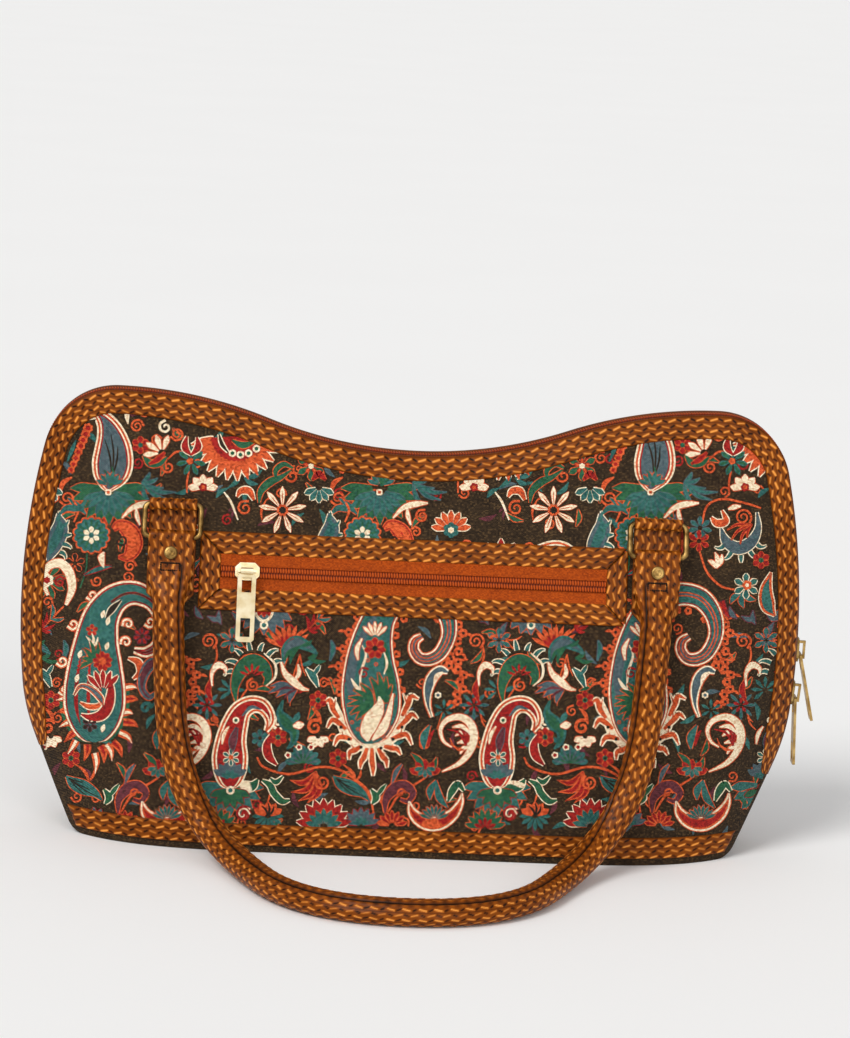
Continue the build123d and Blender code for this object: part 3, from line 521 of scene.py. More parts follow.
cream, rust, red, teal, green, blue, plum, dark = ([(colour, 0)] for colour in weft_order)
cream_rust, cream_teal = [("cream", 1.1), ("rust", 0)], [("cream", 1.1), ("teal", 0)]
cream_green, cream_red = [("cream", 1.1), ("green", 0)], [("cream", 1.0), ("red", 0)]
rust_teal, rust_green = [("rust", 0.9), ("teal", 0)], [("rust", 0.9), ("green", 0)]
rust_cream, rust_blue = [("rust", 0.9), ("cream", 0)], [("rust", 0.9), ("blue", 0)]
rust_red = [("rust", 0.7), ("red", 0)]

# The great drop: coral edging, a crown of hooked leaves at its foot, and inside it vase, sprays and flowers
great_lace_left = [(378, 600), (357, 629), (346, 660), (341, 692)]
lace(great_lace_left, 13, 6.2, hand=-1)
great_lace_inner = [(403, 690), (401, 668), (397, 648), (398, 630), (408, 617), (424, 612), (437, 620)]
lace(great_lace_inner, 13, 5.2)
great_lace_right = [(430, 588), (450, 600), (457, 624), (455, 645), (444, 662)]
lace(great_lace_right, 12, 6.2, hand=1)
crown_leaves = (((339, 718), (333, 709), (330, 700), (324, 703)),
                ((346, 729), (338, 722), (332, 720), (327, 728)),
                ((352, 739), (344, 737), (338, 738), (334, 746)),
                ((361, 746), (355, 750), (350, 752), (349, 760)),
                ((367, 748), (364, 757), (361, 762), (360, 769)),
                ((372, 748), (372, 760), (373, 768), (373, 776)),
                ((378, 748), (383, 757), (386, 760), (387, 768)),
                ((384, 746), (392, 748), (397, 749), (401, 755)),
                ((391, 739), (401, 735), (407, 735), (412, 745)),
                ((397, 729), (407, 719), (412, 714), (418, 719)),
                ((402, 716), (408, 704), (411, 696), (419, 699)))
for spine in crown_leaves:
    hook = [(*place, half) for place, half in zip(spine, (1.6, 2.5, 2.1, 0.4))]
    stroke(hook, [("cream", 1.5), ("rust", 0)], 3)
    root, elbow, tip = (np.array(spine[n]) for n in (0, 2, 3))
    barb = [(*spine[1], 0.4), (*(0.6 * elbow + 0.4 * root), 1.6), (*(2 * elbow - tip), 0.3)]
    stroke(barb, [("cream", 0.6), ("rust", -0.4)], 3)
crown_band = [(336, 702, 1), (341, 721, 5), (350, 737, 6), (370, 747, 6), (392, 737, 6), (402, 721, 5),
              (406, 702, 1)]
stroke(crown_band, cream, 3)
crown_dots = ((341, 727), (349, 739), (361, 747), (381, 748), (393, 739), (402, 727))
for x, y in crown_dots:
    rosette(x, y, 1.8, 4, disc("dark"), 5)
great_drop = [(369, 743.5, 4), (369, 741, 10), (369.5, 734, 17), (370.5, 721, 23.5), (371.5, 706, 27),
              (370.5, 685, 27), (370, 660, 22.5), (373, 637, 18), (380, 617, 14.5), (393, 602, 11.5),
              (412, 594, 9.5), (433, 598, 8.5), (446, 614, 7), (449, 634, 5.5), (441, 652, 5),
              (430, 659, 4.5), (420, 658, 4), (414, 650, 3.5), (415, 641, 3), (422, 636, 1.5)]
stroke(great_drop, [("rust", 3.0), ("cream", 1.9), ("red", 0.4), ("teal", -0.8)], 6)
stroke([(x, y, 0.9) for x, y, w in great_drop[9:]], [("rust", 1.3), ("blue", 0)], 10)
great_left_stripe = [(352, 702, 0.8), (350, 682, 4), (355, 655, 4.5), (366, 630, 3.5), (380, 610, 1)]
stroke(great_left_stripe, blue, 10)
great_right_stripe = [(392, 700, 0.8), (392, 682, 3), (387, 662, 3), (385, 642, 1)]
stroke(great_right_stripe, green, 10)
vase_left = [(368, 741, 1), (367, 732, 6.5), (371, 721, 8), (377, 711, 6.5), (380, 703, 3.5),
             (379, 696, 0.8)]
stroke(vase_left, rust_cream, 13)
vase_right = [(372, 740, 1), (382, 729, 4.5), (388, 716, 3), (391, 703, 1.8), (393, 693, 0.6)]
stroke(vase_right, rust_cream, 13)
great_left_spray = (374, 707)
blades(*great_left_spray, ((348, 697), (347, 705), (350, 714), (353, 689), (360, 683), (356, 720)), 2.6,
       rust_green, 12)
great_right_spray = (377, 701)
blades(*great_right_spray, ((370, 677), (378, 672), (386, 676), (392, 684), (395, 694)), 2.8, rust_green,
       12)
great_cream_stem = [(360, 690, 0.6), (361, 672, 1.3), (366, 655, 1.2), (362, 645, 0.6)]
stroke(great_cream_stem, cream, 12)
leaf((384, 674), (387, 663), (384, 652), 1.3, cream, 12, end=0.6)
leaf((351, 678), (356, 686), (362, 691), 1.8, cream, 12, end=0.6)
leaf((358, 660), (357, 649), (362, 638), 2.2, rust_cream, 12, end=0.6)
heart_flower = (375, 648)
petals(*heart_flower, 11, 7, rust_red, 12, plump=0.24)
rosette(*heart_flower, 3, 6, disc("dark"), 15)
heart_fan = (375, 638)
petals(*heart_fan, 17, 5, rust_cream, 12, start=45, sweep=90, plump=0.09)
great_red_tendril = (364, 673)
curl(*great_red_tendril, 6, 1.3, 40, "red", 1.1, level=12)
great_rust_tendril = (381, 690)
curl(*great_rust_tendril, 6, 1.2, 140, "rust", 1.0, hand=-1, level=12)
great_dots = ((352, 722), (358, 729), (361, 717), (390, 727), (384, 737), (364, 700), (376, 664),
              (368, 660))
for x, y in great_dots:
    rosette(x, y, 2.2, 5, disc("rust", "blue"), 12)
great_field = take_drawn()

# The left-hand drop differs: a carnation over a curled lotus, curls down its back, plain rust flames
left_drop = [(94.5, 742, 4), (94.5, 739, 12), (94.5, 727, 22), (94.5, 709, 28.5), (94.5, 688, 29),
             (95, 664, 25.5), (96.5, 640, 20.5), (101, 618, 17), (111, 602, 14), (124, 594, 11.5),
             (138, 593.5, 9.7), (153, 602, 7.5), (161, 618, 5.5), (162, 634, 4.2), (156, 646, 4),
             (146, 652, 3.6), (134, 650, 1.4)]
flame_tips = ((59, 689), (56, 700), (57, 712), (59, 727), (64, 742), (67, 755), (84, 761), (95, 774),
              (104, 763), (112, 761), (122, 757), (132, 743), (138, 727), (133, 714), (138, 700),
              (137, 688))
stroke(left_drop[:5], [("green", 6)], 2)
flame_middle, flame_top, flame_low = 94.5, 688, 712
for n, (x, y) in enumerate(flame_tips):
    root = np.array([flame_middle, min(max(y, flame_top), flame_low)])
    reach = np.array([x, y]) - root
    flame = [(*(root + 0.66 * reach), 3.8), (*(root + 0.84 * reach + (1.6, -1.6)), 3.4), (x, y, 0.4)]
    stroke(flame, [("rust", 0), ("red", -2.4)], 3, steps=4)
    if n % 2:
        stroke([(a, b, 0.4 * w) for a, b, w in flame], cream, 5, steps=4)
left_curls = ((92, 595, 1), (73, 624, 1), (62, 661, 1), (128, 624, -1), (126, 642, -1), (150, 622, 1),
              (64, 690, 1))
for x, y, hand in left_curls:
    curl(x, y, 6, 1.2, 200, "rust", 2.4, hand, 4)
    curl(x, y, 6, 1.2, 200, "cream", 1.1, hand, 5)
left_aster = (142, 636)
petals(*left_aster, 9, 7, [("plum", 0.6), ("red", -0.6)], 3, plump=0.22)
left_hook = [(128, 658, 0.8), (138, 662, 3.4), (140, 672, 3), (133, 679, 0.8)]
stroke(left_hook, cream_rust, 3)
left_scroll = [(160, 662, 1), (152, 663, 5.5), (144, 674, 5), (142, 688, 3.4), (149, 697, 3), (156, 692, 1)]
stroke(left_scroll, [("rust", 1), ("blue", 0), ("plum", -2.2)], 3)
left_tendril = (146, 708)
curl(*left_tendril, 6, 1.2, 0, "teal", 2, level=4)
left_bud = (160, 702)
petals(*left_bud, 9, 5, teal, 3, start=200, sweep=140, plump=0.2)
stroke(left_drop, [("rust", 2.4), ("cream", 1.6), ("red", -0.4), ("teal", -2.0)], 6)
stroke([(x, y, 0.8) for x, y, w in left_drop[8:]], [("red", 0.3), ("dark", -0.3)], 10)
left_fan = (103, 692)
petals(*left_fan, 23, 5, cream_red, 11, start=48, sweep=84, plump=0.1)
left_carnation = (102.5, 661)
petals(*left_carnation, 10, 9, rust_red, 12, plump=0.2)
rosette(*left_carnation, 4, 6, disc("rust"), 15)
left_spray = (92, 662)
blades(*left_spray, ((84, 648), (90, 640), (98, 642), (80, 668), (82, 658)), 2.2, rust_green, 11)
left_tuft = (92, 648)
blades(*left_tuft, ((86, 636), (92, 633), (98, 637)), 1.3, cream, 12)
left_lotus = [(81, 714, 0.6), (90, 717, 3), (101, 715, 5), (108, 706, 5), (111, 692, 3.6), (110, 676, 0.6)]
stroke(left_lotus, [("cream", 1.2), ("red", 0)], 12)
left_lotus_lip = [(80, 702, 0.6), (88, 706, 2.4), (97, 706, 2.4), (104, 700, 0.6)]
stroke(left_lotus_lip, [("cream", 1), ("rust", 0)], 12)
left_lotus_curl = [(74, 695, 0.6), (80, 686, 1.8), (90, 688, 2.6), (100, 697, 3.2), (103, 705, 0.8)]
stroke(left_lotus_curl, [("cream", 0.9), ("rust", 0), ("blue", -1.2)], 14)
left_foot_flower = (90, 724)
petals(*left_foot_flower, 8, 6, [("plum", 0.4), ("dark", -0.4)], 11, plump=0.24)
leaf((106, 618), (112, 609), (121, 600), 3, [("cream", 0.9), ("dark", 0)], 11, end=0.6)
left_spots = ((80, 654), (77, 678), (103, 728), (107, 646), (103, 614), (108, 621))
for x, y in left_spots:
    stroke([(x + 1.5, y - 4, 0.5), (x, y, 2.4), (x - 1, y + 4, 0.5)], cream, 12, steps=4)
left_crest_flower = (92, 630)
petals(*left_crest_flower, 6, 5, rust_red, 11, plump=0.24)
left_field = take_drawn()

# The small drop: three lines round a red field, palmette foot, hook with its bud
small_drop = [(497.3, 788, 4.5), (497.2, 785.5, 9), (497, 779, 13.5), (497, 769, 16.5), (497, 756, 17.5),
              (498, 740, 15), (502, 724, 13), (508, 711, 10.5), (518, 704.5, 8.5), (528, 705.5, 7.5),
              (535, 713, 6), (537, 722, 4.5), (533, 731, 2)]
palmette = (497, 783)
petals(*palmette, 34, 9, rust_teal, 1, start=188, sweep=164, plump=0.13)
palmette_heart = (497, 787)
petals(*palmette_heart, 22, 6, [("red", 0.8), ("green", 0)], 4, start=205, sweep=130, plump=0.15)
stroke(small_drop, [("cream", 0.8), ("rust", -1.0), ("cream", -3.0), ("red", -4.6)], 6)
calyx = (497, 779)
petals(*calyx, 19, 6, blue, 10, start=30, sweep=120, plump=0.17)
calyx_heart = (497, 780)
petals(*calyx_heart, 11, 4, teal, 11, start=40, sweep=100, plump=0.2)
drop_flower = (498, 757)
petals(*drop_flower, 9, 6, [("cream", 0.5), ("teal", -0.3)], 11, plump=0.2)
rosette(*drop_flower, 2.6, 5, disc("rust"), 13)
leaf((489, 744), (491, 734), (496, 726), 1.8, rust_cream, 11, end=0.6)
leaf((499, 752), (500, 740), (504, 727), 3.6, [("blue", 0.8), ("plum", 0)], 11)
hook_bead = (503, 720)
rosette(*hook_bead, 3.4, 6, disc("cream", "green"), 11, notch=0.05)
leaf((509, 716), (518, 707), (528, 709), 1.8, blue, 11, end=0.6)
foot_bead = (497.4, 790)
rosette(*foot_bead, 4.4, 6, disc("cream", "teal"), 11, notch=0.05)
hook_bud = [(539, 733, 0.8), (534, 745, 3.8), (536, 756, 4), (544, 765, 0.8)]
stroke(hook_bud, cream_red, 4)
hook_flower = (527, 738)
petals(*hook_flower, 9, 6, [("blue", 0.6), ("teal", 0)], 3, plump=0.24)
hook_cream_tendril = (546, 722)
curl(*hook_cream_tendril, 8, 1.5, 200, "cream", 1.5, level=4)
hook_rust_tendril = (538, 730)
curl(*hook_rust_tendril, 6, 1.2, 20, "rust", 1.4, hand=-1, level=3)

# Comma with coral edging, cream crescent, carnation, horn and the leaves round them
comma = [(432, 717, 0.8), (428, 704, 2), (428, 690, 4), (432, 678, 5), (440, 670, 4), (448, 672, 1.5)]
stroke(comma, [("rust", 1.8), ("cream", 0.7), ("blue", -0.8)], 4)
comma_light = [(434, 684, 0.8), (437, 676, 2.6), (443, 672, 1)]
stroke(comma_light, cream, 8)
comma_bead = (438, 695)
rosette(*comma_bead, 3.6, 6, disc("cream", "blue"), 5)
comma_lace = [(450, 660), (458, 674), (457, 690), (450, 704)]
lace(comma_lace, 9, 6)
comma_flower = (444, 710)
petals(*comma_flower, 11, 6, teal, 2, plump=0.14)
crescent = [(452, 747, 0.6), (443.6, 741, 1.3), (440.5, 729.5, 1.8), (446.8, 720, 2.4), (459.5, 716.8, 3.2),
            (470, 723, 3.8), (474, 735.8, 4), (470, 750.5, 3.4), (459.5, 763, 2.2), (441.6, 771.6, 0.5)]
stroke(crescent, rust_cream, 4)
crescent_high_tooth = (471, 734)
blades(*crescent_high_tooth, ((452, 727), (455, 736)), 2.2, rust_cream, 4, bend=0.2)
crescent_low_tooth = (471, 746)
blades(*crescent_low_tooth, ((457, 743), (460, 754)), 2.0, rust_cream, 4, bend=0.2)
crescent_heart = (466, 746)
blades(*crescent_heart, ((447, 729), (454, 725), (462, 727)), 1.3, red, 5, bend=0.2)
crescent_root = (464, 750)
blades(*crescent_root, ((450, 738), (455, 746)), 1.1, rust, 5, bend=-0.2)
carnation = (425, 776)
petals(*carnation, 17, 5, rust_red, 3, start=25, sweep=130, plump=0.17)
carnation_cup = (425, 767)
petals(*carnation_cup, 11, 5, rust_teal, 5, start=195, sweep=150, plump=0.2)
carnation_leaves = (424, 774)
blades(*carnation_leaves, ((411, 753), (437, 757)), 3.0, rust_green, 3)
carnation_low_leaves = (436, 780)
blades(*carnation_low_leaves, ((448, 808), (430, 800)), 3.6, rust_teal, 3)
carnation_stem = [(425, 778, 0.9), (412, 786, 1.2), (398, 796, 1.2), (388, 812, 0.9)]
stroke(carnation_stem, rust, 2)
horn = [(385, 813, 0.8), (386, 799, 3.5), (394, 789, 5.5), (405, 786, 5), (413, 793, 3), (408, 801, 2),
        (400, 799, 1.2)]
stroke(horn, [("rust", 1.1), ("plum", 0)], 3)
horn_tendril = (401, 793)
curl(*horn_tendril, 5, 1.2, 0, "rust", 1.0, level=6)
boat = [(409, 801, 0.8), (413, 813, 5), (424, 822, 7), (438, 823, 7.5), (452, 815, 6), (460, 803, 3.5),
        (462, 793, 0.8)]
stroke(boat, [("rust", 0.9), ("cream", 0), ("rust", -1.9), ("red", -3.6)], 3)
boat_flower = (434, 820)
petals(*boat_flower, 16, 8, [("rust", 0.5), ("teal", -0.2)], 7, start=22, sweep=136, plump=0.11)
boat_prow = [(448, 801, 0.8), (452, 791, 3.4), (458, 784, 3), (464, 791, 1)]
stroke(boat_prow, cream_green, 4)
leaf((424, 749), (424, 737), (430, 725), 4, rust_teal, 2)
leaf((428, 746), (430, 737), (434, 730), 2, red, 4, end=0.6)
leaf((402, 764), (396, 772), (392, 784), 2.4, rust_blue, 2, end=0.7)

# Shell leaf, fan blossom, crescent bird, buds and rosettes between the drops
shell = [(236, 702, 0.8), (235, 686, 4), (241, 670, 7), (252, 662, 8), (263, 666, 6.5), (268, 677, 4),
         (264, 685, 1)]
stroke(shell, rust_green, 4)
shell_heart = (252, 676)
petals(*shell_heart, 13, 5, red, 6, start=20, sweep=140, plump=0.1)
shell_rim = [(234, 672), (240, 656), (252, 650), (265, 653), (274, 663)]
flames(shell_rim, 7, 11, 1.8, cream_teal, 3, hand=1)
shell_edge = [(264, 653, 0.6), (275, 664, 1.2), (275, 677, 1.2), (266, 686, 0.6)]
stroke(shell_edge, cream, 6)
shell_tendril = (253, 685)
curl(*shell_tendril, 7, 1.7, 90, "rust", 1.2, level=7)
leaf((247, 689), (241, 700), (247, 712), 1, rust, 3)
fan_flower = (288, 650)
petals(*fan_flower, 26, 8, rust, 2, start=38, sweep=114, plump=0.08)
petals(*fan_flower, 16, 5, red, 3, start=50, sweep=90, plump=0.12)
bird = [(283, 663, 0.8), (287, 649, 5), (297, 642, 6.2), (310, 648, 3.5), (317, 654, 0.8)]
stroke(bird, [("teal", 0.4), ("blue", -2.2)], 4)
bird_wing = (300, 646)
blades(*bird_wing, ((284, 660), (290, 664), (312, 640)), 2.2, green, 5)
bird_tail = (308, 658)
blades(*bird_tail, ((326, 661), (318, 652)), 2.2, green, 2)
leaf((331, 640), (333, 649), (330, 661), 2.6, [("blue", 0.5), ("teal", -0.6)], 2, end=0.6)
leaf((296, 638), (312, 625), (331, 606), 1.1, rust, 2)
red_twig = (308, 629)
blades(*red_twig, ((318, 632), (306, 616), (322, 624), (314, 612)), 1.8, red, 2)
teal_twig = (318, 619)
blades(*teal_twig, ((331, 618), (319, 604)), 1.8, rust_teal, 2)
bird_legs = (300, 654)
blades(*bird_legs, ((297, 680), (306, 676), (290, 706)), 0.8, rust, 2, bend=0.05)
bird_crescent = [(281, 662, 0.8), (285, 673, 2.6), (293, 681, 3.8), (302, 688, 2.2), (309, 690, 0.6)]
stroke(bird_crescent, rust_cream, 5)
bird_beak = [(294, 681, 0.8), (299, 673, 2), (298, 664, 0.6)]
stroke(bird_beak, rust_cream, 5)
blue_spray = (297, 689)
blades(*blue_spray, ((270, 686), (276, 697), (289, 703), (268, 693)), 2.8, [("rust", 0.8), ("blue", 0)], 3)
blades(*blue_spray, ((276, 691), (284, 699)), 1.4, plum, 5)
leaf((318, 687), (313, 676), (306, 668), 3.4, cream_teal, 4)
leaf((312, 677), (317, 670), (320, 665), 2, [("cream", 0.6), ("teal", 0)], 4, end=0.6)
fork_tendril = (324, 683)
curl(*fork_tendril, 5.5, 1.5, 30, "rust", 1.0)
small_roses = ((318, 700), (278, 737), (338, 758))
for x, y in small_roses:
    petals(x, y, 9.5, 6, rust_red, 4, plump=0.28)
    rosette(x, y, 2.8, 6, disc("green", "dark"), 7)
rose_stem = [(312, 708, 0.8), (318, 714, 2), (321, 724, 1)]
stroke(rose_stem, rust, 3)
sea_leaf = [(283, 700, 0.6), (280, 712, 3.5), (286, 722, 7), (294, 731, 5), (293, 742, 3), (287, 749, 0.6)]
stroke(sea_leaf, [("teal", 0.3), ("green", -2.4)], 4)
sea_leaf_tip = [(290, 727, 0.8), (297, 717, 3), (299, 712, 0.6)]
stroke(sea_leaf_tip, teal, 4)
leaf((293, 726), (299, 725), (304, 724), 3.6, rust_cream, 6)
tulip_tendril = (315, 727)
curl(*tulip_tendril, 8, 1.3, 60, "rust", 1.8, level=4)
tulip = (318, 736)
petals(*tulip, 12, 4, rust_cream, 5, start=205, sweep=130, plump=0.25)
half_bloom = (303, 763)
rosette(*half_bloom, 18, 7, disc("teal", "green", 0.6), 3, start=-8, sweep=196, notch=0.22)
half_bloom_heart = (303, 764)
petals(*half_bloom_heart, 17, 7, blue, 5, start=12, sweep=156, plump=0.06)
half_bloom_beads = ((288, 755), (299, 747), (311, 747))
for x, y in half_bloom_beads:
    rosette(x, y, 3.6, 5, disc("cream", "red", 0.55), 6)
vine = [(257, 757, 0.9), (264, 767, 1.1), (289, 774, 1.2), (318, 767, 1.2), (339, 769.5, 1.2),
        (356, 780, 1.2), (369, 793, 1.1), (375, 822, 0.9)]
stroke(vine, rust, 3)
flame_bloom = (316, 771)
blades(*flame_bloom, ((290, 780), (291, 792), (298, 801), (307, 803)), 3.4, [("rust", 0), ("red", -1.4)], 4,
       bend=-0.25)
vine_fork = (356, 781)
blades(*vine_fork, ((342, 764), (348, 768), (361, 770)), 1.4, rust, 3)
vine_tendril = (322.6, 782)
curl(*vine_tendril, 8, 1.8, 120, "rust", 1.3, level=6)
broad_leaf = [(333, 776, 0.8), (341, 783, 6), (352, 788, 7), (362, 793, 4), (369, 800, 0.8)]
stroke(broad_leaf, rust_teal, 4)
broad_leaf_veins = (336, 778)
blades(*broad_leaf_veins, ((350, 782), (356, 789), (366, 797), (352, 794)), 0.5, dark, 7, bend=0.05)
leaf((372, 804), (376, 797), (371, 789), 3.4, cream_green, 4)
bud_tip = [(376, 797, 0.8), (381, 790, 2.2), (386, 784, 0.6)]
stroke(bud_tip, [("cream", 0.6), ("green", 0)], 4)
lotus = (323.7, 826)
petals(*lotus, 28, 9, cream_red, 3, start=10, sweep=160, plump=0.13)
lotus_heart = (323.7, 827)
petals(*lotus_heart, 19, 7, [("rust", 0.6), ("teal", 0)], 6, start=15, sweep=150, plump=0.14)
thistle = (361, 826)
petals(*thistle, 19, 7, [("red", 0.8), ("blue", 0)], 3, start=20, sweep=140, plump=0.14)
petals(*thistle, 10, 5, teal, 5, start=30, sweep=120, plump=0.16)
ribbon_leaf = [(262, 780, 0.8), (270, 785, 3), (274, 793, 3.2), (282, 801, 3), (290, 800, 0.8)]
stroke(ribbon_leaf, cream_green, 4)
leaf((270, 778), (276, 782), (283, 776), 2.4, cream_green, 4, end=0.6)
lily = (268, 817)
petals(*lily, 16, 5, rust, 4, start=30, sweep=120, plump=0.2)
lily_cup = (268, 815)
petals(*lily_cup, 16, 7, teal, 3, start=185, sweep=170, plump=0.13)
lily_threads = (268, 816)
blades(*lily_threads, ((262, 806), (268, 803), (274, 806)), 1.2, dark, 6)
leaf((268, 801), (272, 790), (282, 776), 1, rust, 2)
left_scroll_tendril = (243, 814)
curl(*left_scroll_tendril, 7, 1.4, 0, "red", 1.8, level=4)
curl(*left_scroll_tendril, 7, 1.0, 0, "cream", 0.8, level=5)
corner_leaf = [(229, 800, 0.8), (240, 788, 5), (252, 786, 4.5), (258, 779, 0.8)]
stroke(corner_leaf, cream_green, 3)
leaf((228, 806), (238, 799), (250, 797), 4, blue, 3)
low_fan = (392, 826)
petals(*low_fan, 16, 7, [("rust", 0.3), ("red", -0.9)], 3, start=15, sweep=150, plump=0.15)
low_palmette = (485, 829)
petals(*low_palmette, 21, 8, rust_green, 3, start=15, sweep=150, plump=0.12)
petals(*low_palmette, 12, 5, red, 5, start=25, sweep=130, plump=0.16)
right_scroll_tendril = (511, 814)
curl(*right_scroll_tendril, 8, 1.5, 40, "red", 1.9, level=3)
curl(*right_scroll_tendril, 8, 1.1, 40, "cream", 0.8, level=4)
crest_palmette = (264, 602)
petals(*crest_palmette, 33, 9, rust_blue, 3, start=195, sweep=150, plump=0.13)
crest_swag = [(253, 604, 0.8), (257, 616, 1.4), (264, 621, 1.6), (271, 616, 1.4), (275, 604, 0.8)]
stroke(crest_swag, cream, 6)
crest_heart = (264, 604)
petals(*crest_heart, 13, 5, rust_red, 6, start=215, sweep=110, plump=0.14)
crest_bead = (264, 625)
rosette(*crest_bead, 4.4, 6, disc("cream", "teal"), 7, notch=0.05)
aster_tendril = (476, 641)
curl(*aster_tendril, 8.5, 1.8, -60, "rust", 1.2)
leaf((483, 646), (484, 656), (481, 666), 1, rust, 2)
teal_aster = (499, 640)
petals(*teal_aster, 13, 6, rust_teal, 3, plump=0.18)
petals(*teal_aster, 7, 5, blue, 5, plump=0.2)
aster_twig = (506, 640)
blades(*aster_twig, ((522, 636), (518, 650)), 1.0, rust, 2)
cream_hook = [(479, 686, 0.7), (479, 673, 1.6), (485, 665, 3.2), (492, 668, 2), (493, 674, 0.7)]
stroke(cream_hook, rust_cream, 4)
leaf((479, 702), (475, 690), (479, 678), 2.6, rust_red, 3)
side_fan = (498, 690)
petals(*side_fan, 14, 6, teal, 2, start=0, sweep=220, plump=0.13)
blue_aster = (474, 705)
petals(*blue_aster, 15, 8, [("blue", 0.3), ("teal", -0.4)], 2, plump=0.1)
petals(*blue_aster, 8, 5, red, 4, plump=0.2)
blue_aster_twig = (480, 712)
blades(*blue_aster_twig, ((486, 722), (489, 730)), 0.9, rust, 2)
plum_leaves = ((462, 606, 1.0), (474, 616, 0.2), (486, 610, 1.4), (499, 612, 0.6), (507, 622, 1.9))
for x, y, a in plum_leaves:
    blades(x, y, ((x + 15 * math.cos(a), y + 15 * math.sin(a)),), 3.0, [("plum", 0.5), ("blue", -0.6)], 2)
lower_field = take_drawn()

# Upper field, one repeat: the hooked drop on its palmette, half sunflower, daisy and vines
hooked_drop = [(108.4, 492.5, 1.5), (109, 486, 10), (110.5, 477, 17), (112.6, 464, 20), (113, 448, 18),
               (110.5, 433, 13.5), (105, 421, 9), (97, 414, 5.5), (88, 417.5, 2)]
high_palmette = (109, 486)
petals(*high_palmette, 39, 11, rust_green, 1, start=183, sweep=174, plump=0.11)
high_palmette_heart = (109, 490)
petals(*high_palmette_heart, 27, 8, [("blue", 0.4), ("teal", -0.3)], 3, start=200, sweep=140, plump=0.11)
stroke(hooked_drop, [("cream", 0.8), ("rust", -1.1), ("cream", -3.1), ("red", -4.7), ("blue", -6.3)], 6)
high_drop_veins = (112, 478)
blades(*high_drop_veins, ((111, 434), (105, 440), (118, 446)), 1.0, dark, 11, bend=0.05)
high_calyx = (110, 486)
petals(*high_calyx, 15, 6, rust_teal, 12, start=25, sweep=130, plump=0.14)
blades(*high_calyx, ((104, 470), (112, 466), (119, 474)), 1.4, green, 13)
high_bead = (108.4, 492)
rosette(*high_bead, 3.6, 4, disc("cream", "rust"), 13)
coral_x, coral_y, coral_radius, coral_count = 88, 428, 5.2, 8
for n in range(coral_count):
    rosette(coral_x - 2.4 * n, coral_y + 6 * n, coral_radius - 0.2 * n, 7, disc("rust", "red"), 2)
leaf((76, 440), (72, 450), (67, 462), 2, teal, 2, end=0.6)
leaf((60, 494), (63, 483), (72, 477), 2.6, rust, 2)
high_spray = (142, 482)
blades(*high_spray, ((170, 500), (164, 488), (152, 505), (158, 478), (176, 492), (150, 472)), 2.2,
       [("blue", 0.4), ("teal", -0.5)], 2)
high_rose = (140.5, 445)
petals(*high_rose, 9, 6, rust_red, 3, plump=0.28)
rosette(*high_rose, 2.6, 5, disc("green"), 6)
trefoil = (162, 453)
petals(*trefoil, 19, 4, rust_cream, 4, start=70, sweep=115, plump=0.14)
high_hook_leaf = [(143, 455, 0.8), (150, 463, 3.6), (160, 463, 3), (167, 457, 0.8)]
stroke(high_hook_leaf, rust_green, 3)
leaf((149, 464), (158, 459), (165, 452), 2.4, rust_red, 5, end=0.7)
trefoil_tendril = (168, 467)
curl(*trefoil_tendril, 7, 1.6, 100, "rust", 1.2)
leaf((168, 459), (176, 452), (186, 452), 1.1, rust, 2, end=0.7)
high_left_tendril = (137, 426)
curl(*high_left_tendril, 7, 1.8, 0, "rust", 1.1)
high_top_tendril = (144, 412)
curl(*high_top_tendril, 6, 1.7, 120, "rust", 1.1, hand=-1)
high_right_tendril = (177, 434)
curl(*high_right_tendril, 7, 1.8, 200, "rust", 1.1)
high_cream_tendril = (165.5, 427)
curl(*high_cream_tendril, 7, 1.3, 90, "cream", 1.4)
cream_twig = [(152, 409, 0.6), (160, 416, 1.4), (170, 417, 0.7)]
stroke(cream_twig, cream, 2)
leaf((128, 406), (127, 415), (128, 424), 2.4, cream, 2, end=0.6)
leaf((191, 455), (185, 447), (187, 436), 3.4, cream_red, 4)
leaf((191, 455), (198, 447), (197, 437), 3.4, cream_red, 4)
star_flower = (191, 461)
petals(*star_flower, 15, 7, [("teal", 0.3), ("green", -1.0)], 3, plump=0.16)
star_eye = (190, 461)
rosette(*star_eye, 3.5, 5, disc("rust"), 6)
star_stem = [(189, 471, 0.9), (187, 482, 1.0), (187, 493, 0.8)]
stroke(star_stem, rust, 2)
sunflower = (236, 435)
petals(*sunflower, 46, 13, [("cream", 1.3), ("rust", 0)], 2, start=192, sweep=160, plump=0.085, inner=0.5)
sunflower_face = (236, 436)
rosette(*sunflower_face, 29, 16, disc("rust", "red", 0.88), 5, start=184, sweep=174, notch=0.05)
sunflower_beads = ((232.5, 453), (240.5, 454.5), (248.6, 453), (256.5, 448.5))
for x, y in sunflower_beads:
    rosette(x, y, 3.9, 6, disc("cream", "green"), 8, notch=0.05)
leaf((219, 434), (222, 444), (228, 452), 2, [("cream", 1), ("dark", -0.2)], 8)
leaf((232, 440), (243, 445), (256, 441), 3.2, rust_green, 8)
cream_lily = (203, 489)
petals(*cream_lily, 15, 5, rust_cream, 4, start=10, sweep=160, plump=0.22)
cream_lily_eye = (203, 487)
rosette(*cream_lily_eye, 4.4, 5, disc("red", "rust"), 7)
acanthus = [(259, 503, 0.8), (261, 491, 3.2), (270, 482, 4), (281, 477, 2.5), (291, 470, 0.8)]
stroke(acanthus, rust_green, 4)
acanthus_tip = [(276, 479, 0.8), (276, 470, 2.6), (284, 464, 2.5), (293, 468, 1)]
stroke(acanthus_tip, rust_green, 4)
acanthus_tendril = (292, 476)
curl(*acanthus_tendril, 7, 1.3, 150, "rust", 1.2)
